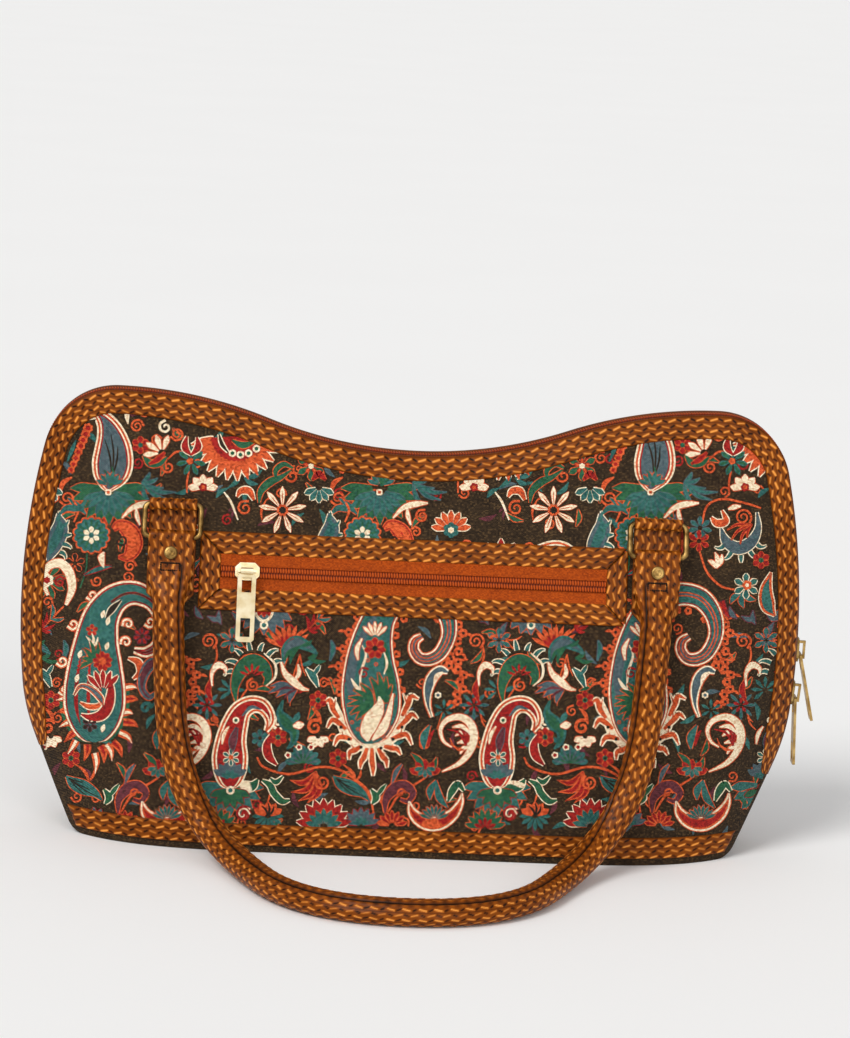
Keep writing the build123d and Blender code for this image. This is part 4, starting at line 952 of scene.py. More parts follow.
acanthus_twig = (266, 500)
blades(*acanthus_twig, ((262, 520), (272, 494)), 1.2, rust, 2)
cap_leaf = [(237, 497, 0.8), (241, 491, 3), (249, 491, 3.4), (254, 500, 1.2)]
stroke(cap_leaf, cream_rust, 4)
cap_tendril = (245, 508)
curl(*cap_tendril, 8, 1.5, 60, "rust", 1.2)
leaf((224, 492), (231, 502), (238, 520), 1.2, cream, 3, end=0.7)
plum_twig = (236, 508)
blades(*plum_twig, ((228, 512), (232, 520)), 1.4, plum, 2)
daisy = (282.5, 510)
petals(*daisy, 24, 9, [("rust", 0.5), ("cream", 0)], 4, plump=0.1)
petals(*daisy, 19, 9, rust, 6, plump=0.025)
rosette(*daisy, 6.2, 8, disc("rust", "dark", 0.6), 8)
teal_pair_left = (228, 488)
blades(*teal_pair_left, ((240, 474), (216, 498)), 2.6, teal, 2)
teal_pair_right = (244, 478)
blades(*teal_pair_right, ((262, 470), (258, 484)), 2.6, teal, 2)
hanging_bell = (319, 487)
petals(*hanging_bell, 16, 5, cream_teal, 3, start=205, sweep=130, plump=0.17)
leaf((312, 480), (319, 474), (326, 480), 3.4, rust_red, 4)
wheel = (311, 466)
petals(*wheel, 15, 6, rust_green, 2, plump=0.2)
petals(*wheel, 8, 5, [("red", 0.4), ("rust", -0.4)], 4, plump=0.2)
rosette(*wheel, 3, 6, disc("cream"), 7)
wheel_tendril = (330, 458)
curl(*wheel_tendril, 7, 1.5, 60, "rust", 1.2)
wave_tendril = (338, 498)
curl(*wave_tendril, 8, 1.6, 200, "rust", 1.2)
wave_leaf = [(330, 515, 0.8), (338, 508, 3), (350, 508, 3), (358, 500, 0.8)]
stroke(wave_leaf, rust_teal, 2)
medallion = (91.4, 535)
rosette(*medallion, 19.5, 14, disc("rust", "teal", 0.9), 3, notch=0.12)
petals(*medallion, 16, 14, green, 5, plump=0.06)
petals(*medallion, 9, 6, cream, 7, plump=0.28)
rosette(*medallion, 2.8, 6, disc("teal"), 8)
snail = [(118, 557, 0.8), (128, 556, 5), (134, 545, 8), (130, 532, 8), (120, 525, 5), (113, 529, 2)]
stroke(snail, [("rust", 1.1), ("red", -0.1), ("rust", -1.4)], 4)
snail_tendril = (122, 540)
curl(*snail_tendril, 6, 1.3, 200, "dark", 1.1, level=8)
plume = [(48, 562, 0.8), (53, 546, 8), (60, 528, 8), (58, 513, 0.8)]
stroke(plume, [("cream", 1.0), ("blue", 0), ("teal", -4)], 3)
plume_rim = [(56, 520), (64, 534), (60, 552)]
flames(plume_rim, 5, 10, 1.8, cream_teal, 3, hand=1)
sickle = [(122, 518, 0.7), (132, 508, 2.2), (144, 504, 3), (157, 503, 0.7)]
stroke(sickle, rust_cream, 4)
leaf((136, 507), (137, 516), (140, 525), 2, rust_cream, 4, end=0.7)
sickle_tendril = (151, 516)
curl(*sickle_tendril, 7, 1.7, 60, "rust", 1.2)
snail_top_tendril = (145, 532)
curl(*snail_top_tendril, 6, 1.6, 220, "rust", 1.2, hand=-1)
leaf((68, 498), (78, 506), (86, 514), 3, rust_teal, 2)
leaf((74, 522), (78, 510), (72, 498), 1.2, rust, 3)
ring_leaf = [(48, 595, 1.4), (43, 581, 2.4), (48, 567, 3.4), (60, 563, 4.4), (69, 572, 4.6), (72, 588, 3.8),
             (66, 605, 1.4)]
stroke(ring_leaf, rust_cream, 4)
ring_leaf_tendril = (60, 582)
curl(*ring_leaf_tendril, 6, 1.5, 30, "red", 1.3, level=3)
dark_aster = (75, 563)
petals(*dark_aster, 10, 5, [("rust", 0.9), ("dark", 0)], 3, plump=0.22)
leaf((84, 575), (98, 569), (112, 566), 2.6, [("red", 0.6), ("teal", -0.4)], 3)
leaf((87, 553), (86, 570), (80, 588), 0.8, green, 2, end=0.7)
snail_foot_tendril = (130, 566)
curl(*snail_foot_tendril, 6.5, 1.6, 0, "rust", 1.2)
medallion_leaves = (104, 552)
blades(*medallion_leaves, ((104, 568), (100, 562)), 2.4, rust_cream, 3)
high_fan = (180, 530)
petals(*high_fan, 20, 7, cream_rust, 2, start=10, sweep=160, plump=0.14)
rosette(*high_fan, 8, 6, disc("teal", "cream", 0.4), 5)
high_fan_leaves = (168, 552)
blades(*high_fan_leaves, ((150, 566), (160, 574), (182, 566)), 3.2, rust_green, 2)
red_aster = (230, 560)
petals(*red_aster, 22, 9, cream_red, 2, plump=0.13)
rosette(*red_aster, 8, 8, disc("rust", "cream"), 5)
high_bud = [(262, 591, 1.5), (262, 577, 13), (270, 560, 14), (284, 549, 8), (298, 551, 5), (302, 561, 2)]
stroke(high_bud, [("cream", 1.2), ("rust", -0.6), ("cream", -2.6), ("teal", -4.2)], 3)
green_aster = (318, 580)
petals(*green_aster, 20, 9, rust_green, 2, plump=0.13)
rosette(*green_aster, 7, 6, disc("cream", "red"), 5)
teal_sun = (160, 590)
petals(*teal_sun, 17, 8, [("rust", 0.6), ("teal", -0.2)], 2, plump=0.14)
low_right_tendril = (196, 584)
curl(*low_right_tendril, 9, 1.8, 90, "rust", 1.3)
teal_leaves = (200, 560)
blades(*teal_leaves, ((190, 575), (210, 575), (206, 545)), 2.6, rust_teal, 2)
upper_field = take_drawn()

# Right end of the front: shell leaf turned over, its bud, vine and blossoms
turned_shell_tendril = (743, 517)
curl(*turned_shell_tendril, 9.5, 2.0, 240, "rust", 1.2, level=6)
turned_shell = [(721, 528, 0.8), (726, 541, 4.5), (738, 548, 6), (751, 542, 5.4), (758, 528, 3),
                (757, 512, 0.8)]
stroke(turned_shell, [("cream", 1.0), ("blue", 0)], 4)
turned_shell_heart = (752, 524)
blades(*turned_shell_heart, ((727, 530), (731, 540), (740, 544), (747, 538)), 1.4,
       [("rust", 0.3), ("red", -0.6)], 7)
turned_shell_rim = [(757, 544), (746, 554), (735, 554), (724, 545)]
flames(turned_shell_rim, 5, 10, 1.8, cream_teal, 3, hand=1)
turned_bud = [(711, 517, 0.8), (717, 523, 3.6), (726, 521, 3), (722, 510, 0.8)]
stroke(turned_bud, cream_rust, 4)
leaf((728, 509), (734, 507), (741, 506), 2.4, rust_cream, 4, end=0.7)
high_vine = [(702, 524, 0.9), (707, 506, 1.1), (722, 499, 1.1), (745, 503, 1.1), (761, 508, 0.9)]
stroke(high_vine, rust, 2)
low_vine = [(699, 550, 0.9), (707, 572, 1.1), (721, 586, 1.1), (737, 590, 0.9)]
stroke(low_vine, rust, 2)
end_aster = (700, 528)
petals(*end_aster, 12, 7, [("blue", 0.5), ("teal", -0.4)], 3, plump=0.18)
end_rose = (699, 541)
petals(*end_rose, 11, 6, rust_red, 3, plump=0.2)
end_star = (746, 586)
petals(*end_star, 13, 6, [("cream", 1.0), ("teal", 0)], 4, plump=0.2)
end_star_eye = (747, 585)
rosette(*end_star_eye, 5, 5, disc("rust", "cream", 0.4), 7)
end_button = (761, 560)
petals(*end_button, 9, 6, rust_red, 4, plump=0.28)
rosette(*end_button, 2.8, 6, disc("green"), 7)
end_cream_leaves = (716, 568)
blades(*end_cream_leaves, ((715, 552), (722, 554), (708, 560)), 2.2, rust_cream, 3)
end_star_leaves = (742, 592)
blades(*end_star_leaves, ((756, 600), (730, 604), (752, 578), (744, 608)), 3.2,
       [("rust", 0.6), ("teal", -0.3)], 2)
end_plum_leaves = (724, 600)
blades(*end_plum_leaves, ((716, 612), (730, 618), (722, 626)), 2.6, [("plum", 0.3), ("red", -0.5)], 2)
end_leaf = [(771, 572, 0.8), (766, 590, 6), (768, 606, 7), (775, 616, 0.8)]
stroke(end_leaf, [("cream", 1.0), ("rust", 0), ("teal", -2.5)], 4)
right_end = take_drawn()

# Sprigs that fill the ground between the drops: small leaves and tendrils on an uneven lattice
lattice = np.random.default_rng(7)
sprig_rows, sprig_columns, sprig_left, sprig_top = 17, 27, -10, 380
sprig_pitch, sprig_row_pitch, sprig_stray_x, sprig_stray_y, sprig_reach = 32, 28, 7, 6, 9
sprig_colours = (blue, [("rust", 0.7), ("green", -0.4)], plum, teal)
for row in range(sprig_rows):
    for step in range(sprig_columns):
        stray = lattice.uniform(-sprig_stray_x, sprig_stray_x)
        x = sprig_left + sprig_pitch * step + sprig_pitch // 2 * (row % 2) + stray
        y = sprig_top + sprig_row_pitch * row + lattice.uniform(-sprig_stray_y, sprig_stray_y)
        a, kind = lattice.uniform(0, 2 * math.pi), lattice.integers(0, 6)
        c, s = math.cos(a) * sprig_reach, math.sin(a) * sprig_reach
        if kind < len(sprig_colours):
            sprig = [(x - c, y - s, 0.4), (x - 0.25 * s, y + 0.25 * c, 2.6), (x + c, y + s, 0.4)]
            stroke(sprig, sprig_colours[kind], 0, steps=3)
        else:
            curl(x, y, 6, 1.4, math.degrees(a), "rust" if kind == 4 else "red", 1.0, level=0)
sprigs = take_drawn()

# Plant on each wedge: a drop on its palmette with a blossom over it and buds in the corners
wedge_palmette = (0, -24)
petals(*wedge_palmette, 21, 7, rust_teal, 1, start=190, sweep=160, plump=0.14)
wedge_drop = [(0, -22, 4), (0, -26, 9), (0, -38, 15), (1, -54, 16), (3, -70, 12), (8, -84, 8),
              (16, -90, 5.5), (22, -84, 3.5), (20, -76, 1.5)]
stroke(wedge_drop, [("cream", 0.8), ("rust", -1.0), ("cream", -3.0), ("teal", -4.6)], 6)
wedge_flower = (1, -48)
petals(*wedge_flower, 12, 6, cream_red, 11, plump=0.2)
rosette(*wedge_flower, 3, 6, disc("dark"), 14)
wedge_blossom = (-4, -112)
petals(*wedge_blossom, 11, 6, rust_red, 4, plump=0.26)
rosette(*wedge_blossom, 3, 6, disc("green"), 7)
wedge_leaves = (0, -100)
blades(*wedge_leaves, ((-14, -92), (12, -108), (7, -126), (-12, -130)), 2.6, rust_green, 2)
wedge_tendril = (2, -138)
curl(*wedge_tendril, 6, 1.5, 40, "rust", 1.2)
side_tendril, side_flower, side_leaf, side_tips = (27, -58), (34, -12), (32, -30), ((39, -46), (22, -42))
for hand in (-1, 1):
    curl(hand * side_tendril[0], side_tendril[1], 8, 1.7, 60, "rust", 1.3, hand)
    petals(hand * side_flower[0], side_flower[1], 14, 5, cream_red, 3, start=20, sweep=140, plump=0.17)
    blades(hand * side_leaf[0], side_leaf[1], [(hand * x, y) for x, y in side_tips], 2.6, rust_teal, 2)
wedge_field = take_drawn()

repeat, upper_stretch = 267.0, 4.0
right_end_from, right_end_top, right_end_foot = 690.0, 500.0, 612.0
most_miss, weft_lift_least, weft_lift_level, weft_lift_step, weft_lift_turn = 2.5, 0.1, 0.045, 0.0028, 15
pattern_end, pattern_margin = 4.0, 4.5
tab_place, tab_reach, tab_foot, tab_top = 130.0, 10.0, 138.0, 184.0
pocket_middle, pocket_reach, pocket_rise = 149.0, 112.0, 17.5


def on_cloth(points):
    """Where a line of sight through a picture point meets the front cloth: the sight line is cut by
    the cloth's depth again and again until both agree. Points past the edge stop at the trim."""
    k = camera_lens / sensor * photo_height
    sight = -back_way + (points[:, :1] - photo_width / 2) / k * right_way
    sight = sight + (photo_height / 2 - points[:, 1:]) / k * up_way
    y = np.full(len(points), -40.0)
    for _ in range(8):
        seen = eye + sight * ((y - eye[1]) / sight[:, 1])[:, None]
        x = np.clip(seen[:, 0], pattern_end - bag_half_width, bag_half_width - pattern_end)
        low, high = edge_under(x), edge_over(x)
        margin = np.minimum(pattern_margin, 0.4 * (high - low))
        z = np.clip(seen[:, 2], low + margin, high - margin)
        y = -depth(x, z)
    return x, z, np.hypot(seen[:, 0] - x, seen[:, 2] - z)


def gathered(shapes):
    """All shapes as one sheet: its points, which shape each belongs to, its faces and their colours."""
    sizes = np.array([len(points) for points, _, _, _ in shapes])
    starts = np.cumsum(sizes) - sizes
    return (np.concatenate([points for points, _, _, _ in shapes]), np.repeat(np.arange(len(shapes)), sizes),
            np.concatenate([quads + start for (_, quads, _, _), start in zip(shapes, starts)]),
            np.concatenate([np.full(len(quads), colour) for _, quads, colour, _ in shapes]))


def facing_out(across, up, quads):
    """Faces that all run the same way round as seen from outside: the others are reversed."""
    corner = np.stack([across, up], axis=-1)[quads]
    away = np.cross(corner[:, 1] - corner[:, 0], corner[:, 2] - corner[:, 1]) < 0
    return np.where(away[:, None], quads[:, ::-1], quads)


def in_right_end(shape):
    """Whether a shape of the repeat stands where the right end has its own."""
    x, y = shape[0].mean(axis=0)
    return x > right_end_from and right_end_top < y < right_end_foot


shapes = list(sprigs)
for field, shifts in ((lower_field, (-2, -1, 0, 1, 2)), (great_field, (-2, 0, 1, 2)), (left_field, (0,)),
                      (upper_field, (-1, 0, 1, 2, 3))):
    for shift in shifts:
        moved = np.array([shift * repeat + (upper_stretch * shift if field is upper_field else 0), 0.0])
        shapes += [(points + moved, quads, colour, level) for points, quads, colour, level in field]
shapes = [shape for shape in shapes if not in_right_end(shape)] + right_end
weft_pixels, owner, weft_quads, weft_index = gathered(shapes)
weft_x, weft_z, miss = on_cloth(weft_pixels)
kept = (np.bincount(owner, miss) / np.bincount(owner) < most_miss)[owner[weft_quads[:, 0]]]
lift = np.array([weft_lift_least + weft_lift_level * level for _, _, _, level in shapes])
lift = (lift + weft_lift_step * (np.arange(len(shapes)) % weft_lift_turn))[owner]
weft_quads, weft_index = facing_out(weft_x, weft_z, weft_quads[kept]), weft_index[kept]
middle_x, middle_z = weft_x[weft_quads].mean(axis=1), weft_z[weft_quads].mean(axis=1)
under_pocket = (np.abs(middle_x) < pocket_reach) & (np.abs(middle_z - pocket_middle) < pocket_rise)
under_tab = (np.abs(np.abs(middle_x) - tab_place) < tab_reach) & (middle_z > tab_foot) & (middle_z < tab_top)
for face, way, bare in (("front", -1, ~(under_pocket | under_tab)), ("back", 1, ~under_tab)):
    seen, seen_quads = np.unique(weft_quads[bare], return_inverse=True)
    weft_y = way * (depth(-way * weft_x, weft_z) + lift)
    weft_points = np.stack([-way * weft_x, weft_y, weft_z], axis=-1)[seen]
    weft = mesh_piece(face + "_paisley", weft_points, seen_quads.reshape(-1, 4), list(threads.values()),
                      material_index=weft_index[bare])
    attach(weft, "bag")
plant_scale, plant_foot, plant_top, plant_margin = 0.54, 3.0, 78.0, 1.5
plant, owner, plant_quads, plant_index = gathered(wedge_field)
plant = plant * plant_scale
lift = np.array([weft_lift_least + weft_lift_level * level for _, _, _, level in wedge_field])[owner]
plant_z = np.clip(-plant[:, 1], plant_foot, plant_top)
plant_x = side_at(plant_z)
plant_half = depth(plant_x, plant_z) - wedge_tuck
plant_y = np.clip(plant[:, 0], plant_margin - plant_half, plant_half - plant_margin)
plant_x = plant_x - wedge_dip(plant_y / plant_half, plant_z) + lift
plant_quads = facing_out(plant_y, plant_z, plant_quads)
for name, way in (("right", 1), ("left", -1)):
    weft = mesh_piece(name + "_wedge_paisley", np.stack([way * plant_x, plant_y, plant_z], axis=-1),
                      plant_quads[:, ::way], list(threads.values()), material_index=plant_index)
    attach(weft, "bag")

# Braided trim: a flat plait of glossy tan strands, sewn over the edge of each panel, along its foot
# and round the pocket zip. The strands lie slanting in rows, with painted light on top and painted shade
# between.
trim_width, trim_gap, trim_low, trim_high, trim_rows = 12.0, 0.2, 0.85, 1.4, 4
foot_height, rim_taper, rim_end_share = 45.0, 24.0, 0.3
pocket_height, window_half_length, window_half_height, strip_width = 149.0, 103.0, 8.5, 12.0
frame_half_length, frame_half_height = window_half_length + strip_width, window_half_height + strip_width
foot_low, foot_high, foot_end_gap = 3.6, 15.6, 3.0


def plait(along, over, rows, pitch=7.6, slant=0.75):
    """Rise and painted light of the plait, 0 to 1: rows side by side, each a chain of slanting raised
    dashes with a short sunken gap slanting the other way between each two, turned about in every
    second row. The rows meet in shallow lines. The painted light puts painted highlights on the dashes
    and painted shade in the gaps and along the lines, and paints every second row a little darker."""
    row = np.clip(np.floor(over * rows), 0, rows - 1)
    q = over * rows - row - 0.5
    odd = row % 2
    hand = 1 - 2 * odd
    phase = along / pitch + 0.5 * odd
    p = phase - np.floor(phase) - 0.5
    g = p - np.sign(p) * 0.5
    dash = np.exp(-((q - hand * slant * p) / 0.2) ** 2) * np.clip(2.4 - 6 * np.abs(p), 0, 1)
    gap = np.exp(-((q + hand * slant * 1.6 * g) / 0.17) ** 2) * np.clip(2.2 - 9 * np.abs(g), 0, 1)
    line = np.abs(2 * q) ** 6
    # The second value is painted light: painted highlights on the dashes, painted shade in the gaps and
    # lines, every second row painted darker.
    return (np.clip(0.55 + 0.45 * dash - 0.5 * gap - 0.3 * line, 0, 1),
            np.clip(0.48 + (0.52 - 0.18 * odd) * dash - 0.5 * gap - 0.2 * line, 0, 1))


def braided(name):
    """Glossy strands coloured by the plait's painted light: painted shade dark in the gaps, brown on the
    flanks, a painted highlight tan on top, with a little grain.
    """
    made, tree, surface, at = shader(name, 0.42)
    # The rise attribute holds the plait's painted light, mixed below with a cloud of grain.
    rise = node(tree, "ShaderNodeAttribute", {"attribute_name": "rise"}).outputs["Fac"]
    painted_light_and_grain = reckon(tree, "MULTIPLY_ADD", noise(tree, at, 60.0), 0.36, rise)
    painted_light_and_grain = reckon(tree, "SUBTRACT", painted_light_and_grain, 0.18)
    shades = ramp(tree, painted_light_and_grain, (0.08, dye(30, 12, 1)), (0.36, dye(104, 49, 4)), (0.62, dye(142, 72, 8)),
                  (0.95, dye(236, 152, 66)))
    tree.links.new(shades, surface.inputs["Base Color"])
    emboss(tree, surface, 0.15, 0.1, noise(tree, at, 900.0, 3.0))
    surface.inputs["Coat Weight"].default_value = 0.02
    surface.inputs["Coat Roughness"].default_value = 0.3
    surface.inputs["Specular IOR Level"].default_value = 0.1
    return made


def crowned(over):
    """Roundness of a strip across its width: nothing at both edges and full a twelfth of the way in."""
    return np.clip(np.minimum(over, 1 - over) * 12, 0, 1) ** 0.5


def column(value, rows):
    """One column of the same value, to set beside a grid as its border."""
    return np.full((rows, 1), value)


braid = braided("tan_braid")
rim_half = half_edge[(half_edge[:, 1] > foot_height) & (np.arange(len(half_edge)) > 5)]
rim_half = np.vstack([[side_at(foot_height), foot_height], rim_half])
rim_path = np.vstack([rim_half, rim_half[::-1][1:] * [-1, 1]])
rim_steps = 1250
rim = even(rim_path, rim_steps)
rim_in = square_to(heading(rim))
over = np.linspace(0, 1, 25)
rise, painted_light = plait(run_length(rim)[:, None], over[None, :], trim_rows)
height = trim_gap + crowned(over) * (trim_low + (trim_high - trim_low) * rise)
height = np.hstack([column(-wall - 0.5, rim_steps), column(-1.2, rim_steps), column(0.1, rim_steps), height,
                    column(-0.6, rim_steps)])
# Painted shade at the band's edges: mid dark where it wraps over the panel's edge, dark where its inner edge
# sinks into the cloth.
painted_light = np.hstack([column(0.35, rim_steps), column(0.35, rim_steps), column(0.4, rim_steps), painted_light,
                  column(0.1, rim_steps)])
taper = rim_end_share + (1 - rim_end_share) * np.clip((rim[:, 1:] - foot_height) / rim_taper, 0, 1) ** 0.6
inset = np.concatenate([[0.3, -0.4, -0.5], over * trim_width, [trim_width + 0.1]])
inset = np.where(inset > 1, inset * taper, inset + 0 * taper)
rim_x = rim[:, :1] + inset * rim_in[:, :1]
rim_z = rim[:, 1:] + inset * rim_in[:, 1:]
for face, way in (("front", -1), ("back", 1)):
    band_points = np.stack([rim_x, way * (depth(rim_x, rim_z) + height), rim_z], axis=-1)
    band = grid_piece(face + "_rim_braid", band_points, [braid], {"rise": painted_light}, turned=way < 0)
    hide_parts(face + "_edge_trim")
    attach(band, "bag")


def strip(name, node_name, near, far, low, high, way, upright=False):
    """Straight length of braid on the cloth: its long sides run between two heights, its ends are
    cut from the near half length on one side to the far half length on the other."""
    over = np.linspace(0, 1, 23)[None, :]
    count = int(2 * max(near, far) / 0.85)
    share = np.linspace(-1, 1, count)[:, None]
    along, across = share * (near + (far - near) * over), low + (high - low) * over
    # The plait's painted light, with painted highlights on the dashes and painted shade in the gaps, goes to
    # the braid finish.
    rise, painted_light = plait(along + 400, np.broadcast_to(over, along.shape), trim_rows)
    crown = crowned(over) * np.clip((1 - np.abs(share)) * count / 4, 0, 1) ** 0.5
    height = trim_gap + crown * (trim_low + (trim_high - trim_low) * rise) - 0.7 * (crown <= 0)
    x, z = np.broadcast_arrays(*((across, pocket_height + along) if upright else (along, across)))
    piece = grid_piece(name, np.stack([x, way * (depth(x, z) + height), z], axis=-1), [braid], {"rise": painted_light})
    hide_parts(node_name)
    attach(piece, "bag")


for side, way in (("top", 1), ("bottom", -1)):
    strip("pocket_" + side + "_braid", "pocket_" + side + "_strip", window_half_length, frame_half_length,
          pocket_height + way * window_half_height, pocket_height + way * frame_half_height, -1)
for side, way in (("right", 1), ("left", -1)):
    strip("pocket_" + side + "_braid", "pocket_" + side + "_strip", window_half_height, frame_half_height,
          way * window_half_length, way * frame_half_length, -1, upright=True)
for face, way in (("front", -1), ("back", 1)):
    strip(face + "_foot_braid", face + "_base_trim", side_at(foot_low) - foot_end_gap,
          side_at(foot_high) - foot_end_gap, foot_low, foot_high, way)

# Main zip: two tapes of rust weave sewn behind the rims and a closed nylon coil between them, from
# the stop on one side over the top to the stop on the other.
coil_half_width, coil_rise, coil_pitch, zip_stop, zip_steps = 2.8, 0.8, 1.45, 80.0, 2000
tape_weave = woven("zip_tape_weave", dye(128, 48, 8), dye(182, 78, 16), dye(146, 58, 10), rib=0.9, sheen=0.02)


def coiled(name):
    """Nylon coil of rust coloured by its rise: painted shade dark in the gaps, rust on the turns with a
    painted highlight on their tops.
    """
    made, tree, surface, at = shader(name, 0.42)
    rise = node(tree, "ShaderNodeAttribute", {"attribute_name": "rise"}).outputs["Fac"]
    mixed = reckon(tree, "MULTIPLY_ADD", noise(tree, at, 400.0), 0.3, rise)
    shades = ramp(tree, mixed, (0.2, dye(38, 11, 2)), (0.65, dye(120, 42, 8)), (0.95, dye(178, 76, 22)))
    tree.links.new(shades, surface.inputs["Base Color"])
    surface.inputs["Specular IOR Level"].default_value = 0.08
    return made


def turns(along, over):
    """Rise of a closed coil, 0 to 1: two rows of rounded teeth, one half a pitch ahead of the other."""
    p = along / coil_pitch + 0.5 * (over > 0) + 0.25 * over
    across = 0.35 + 0.65 * np.cos(np.pi * (np.abs(over) - 0.5)) ** 0.5
    return np.cos(np.pi * (p - np.floor(p) - 0.5)) ** 0.7 * across


def bordered(middle, border):
    """A grid with one more column of the same value at both of its sides."""
    return np.hstack([column(border, len(middle)), middle, column(border, len(middle))])


nylon = coiled("nylon_coil")
stop_x = side_at(zip_stop)
zip_path = np.vstack([[stop_x, zip_stop], rim_path[rim_path[:, 1] > zip_stop + 0.5], [-stop_x, zip_stop]])
zip_path = even(zip_path, zip_steps)
zip_in = square_to(heading(zip_path))
teeth = np.linspace(-0.98, 0.98, 9)[None, :]
rise = turns(run_length(zip_path)[:, None], teeth)
outset = bordered(coil_rise * (1.3 * rise - 0.3), -1.0)
coil_y = np.broadcast_to(np.concatenate([[-1.0], teeth[0], [1.0]]) * coil_half_width, outset.shape)
coil_points = np.stack([zip_path[:, :1] - outset * zip_in[:, :1], coil_y,
                        zip_path[:, 1:] - outset * zip_in[:, 1:]], axis=-1)
# The coil's rise also paints its colour: painted shade in the gaps and at its sides, painted light on the
# turns.
coil = grid_piece("main_zip_teeth", coil_points, [nylon], {"rise": bordered(rise, 0.0)})
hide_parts("main_zip_coil")
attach(coil, "bag")
zip_edge = depth(zip_path[:, 0], zip_path[:, 1])[:, None] - wall
tape_start, tape_lap, tape_sink, tape_belly, tape_every = 0.4, 0.9, 0.5, 0.5, 5
share = np.linspace(0, 1, 7)[None, :]
tape_y = coil_half_width - tape_start + share * (zip_edge - coil_half_width + tape_lap)
tape_in = tape_sink + tape_belly * np.sin(np.pi * share) + 0 * tape_y
for face, way in (("front", -1), ("back", 1)):
    tape_points = np.stack([zip_path[:, :1] + tape_in * zip_in[:, :1], way * tape_y,
                            zip_path[:, 1:] + tape_in * zip_in[:, 1:]], axis=-1)[::tape_every]
    tape = grid_piece("main_zip_" + face + "_weave", tape_points, [tape_weave], turned=way < 0)
    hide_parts("main_zip_" + face + "_tape")
    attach(tape, "bag")

# Pocket zip: two tapes of the same weave in the frame's window and a coil along the slot between
# them, all sewn to the front cloth behind the frame.
pocket_coil_half, pocket_coil_rise, pocket_tape_lap, pocket_teeth_lap = 3.0, 2.0, 0.6, 0.2
tape_reach, teeth_reach = window_half_length + pocket_tape_lap, window_half_length + pocket_teeth_lap
tape_x = np.linspace(-tape_reach, tape_reach, 150)[:, None]
sag = 0.9 - 0.35 * np.sin(np.pi * np.linspace(0, 1, 7))[None, :]
for name, way in (("upper", 1), ("lower", -1)):
    tape_z = pocket_height + way * np.linspace(pocket_coil_half - pocket_tape_lap,
                                               window_half_height + pocket_tape_lap, 7)[None, :]
    x, z = np.broadcast_arrays(tape_x, tape_z)
    tape = grid_piece("pocket_zip_" + name + "_weave", np.stack([x, -depth(x, z) - sag, z], axis=-1),
                      [tape_weave], turned=way < 0)
    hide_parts("pocket_zip_" + name + "_tape")
    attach(tape, "bag")
teeth_x = np.linspace(-teeth_reach, teeth_reach, 640)[:, None]
rise = turns(teeth_x, teeth)
teeth_z = pocket_height + pocket_coil_half * np.concatenate([[-1.02], teeth[0], [1.02]])[None, :]
x, z = np.broadcast_arrays(teeth_x, teeth_z)
teeth_y = -depth(x, z) - bordered(pocket_coil_rise * (0.62 + 0.38 * rise), 0.3)
teeth_points = np.stack([x, teeth_y, z], axis=-1)
# The coil's rise also paints its colour: painted shade in the gaps and at its sides, painted light on the
# turns.
coil = grid_piece("pocket_zip_teeth", teeth_points, [nylon], {"rise": bordered(rise, 0.0)})
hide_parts("pocket_zip_coil")
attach(coil, "bag")

# Zip sliders and pulls: gold castings of one gold, pale on the pocket and painted darker on the main zip
# with painted shade and a painted dark reflection. Each pull is a plate with an opening at both ends, hung on
# the crown of its slider.
worn_edge = 0.22


def metal(name, shade, light, roughness):
    """Plated metal: two close shades that drift with a cloud, fine scratches in the gloss."""
    made, tree, surface, at = shader(name, roughness, 1.0)
    cloud = noise(tree, at, 180.0, 5.0)
    tree.links.new(ramp(tree, cloud, (0.35, shade), (0.65, light)), surface.inputs["Base Color"])
    rough = node(tree, "ShaderNodeMapRange", Value=cloud, i3=roughness - 0.08, i4=roughness + 0.1)
    tree.links.new(rough.outputs["Result"], surface.inputs["Roughness"])
    emboss(tree, surface, 0.05, 0.05, noise(tree, at, 2500.0))
    return made


pale_gold = metal("pale_gold_plate", dye(236, 212, 160), dye(252, 238, 204), 0.34)
# The same gold painted darker: painted shade and a painted dark reflection on the main zip's castings.
painted_shade_gold = metal("painted_shade_gold_plate", dye(150, 116, 62), dye(208, 174, 112), 0.36)
for zip_name, gold in (("pocket", pale_gold), ("upper", painted_shade_gold), ("lower", painted_shade_gold)):
    for name in (zip_name + "_zip_slider", zip_name + "_zip_pull"):
        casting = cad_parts[name]
        casting.data.materials.clear()
        casting.data.materials.append(gold)
        edge = casting.modifiers.new("worn_edges", "BEVEL")
        edge.width, edge.segments, edge.limit_method = worn_edge * MM, 2, "ANGLE"

# Chapes: short lengths of wider braid sewn to the panel with their feet cut to a point, each turned
# over the upper bar of a ring.
ring_x, ring_height, ring_y = 130.0, 183.0, -28.877
chape_width, chape_foot, chape_cut, chape_thickness, chape_roll = 25.5, 128.0, 8.0, 1.6, 3.45
chape_top, chape_rows, climb_steps, wrap_steps = 179.5, 8, 70, 40
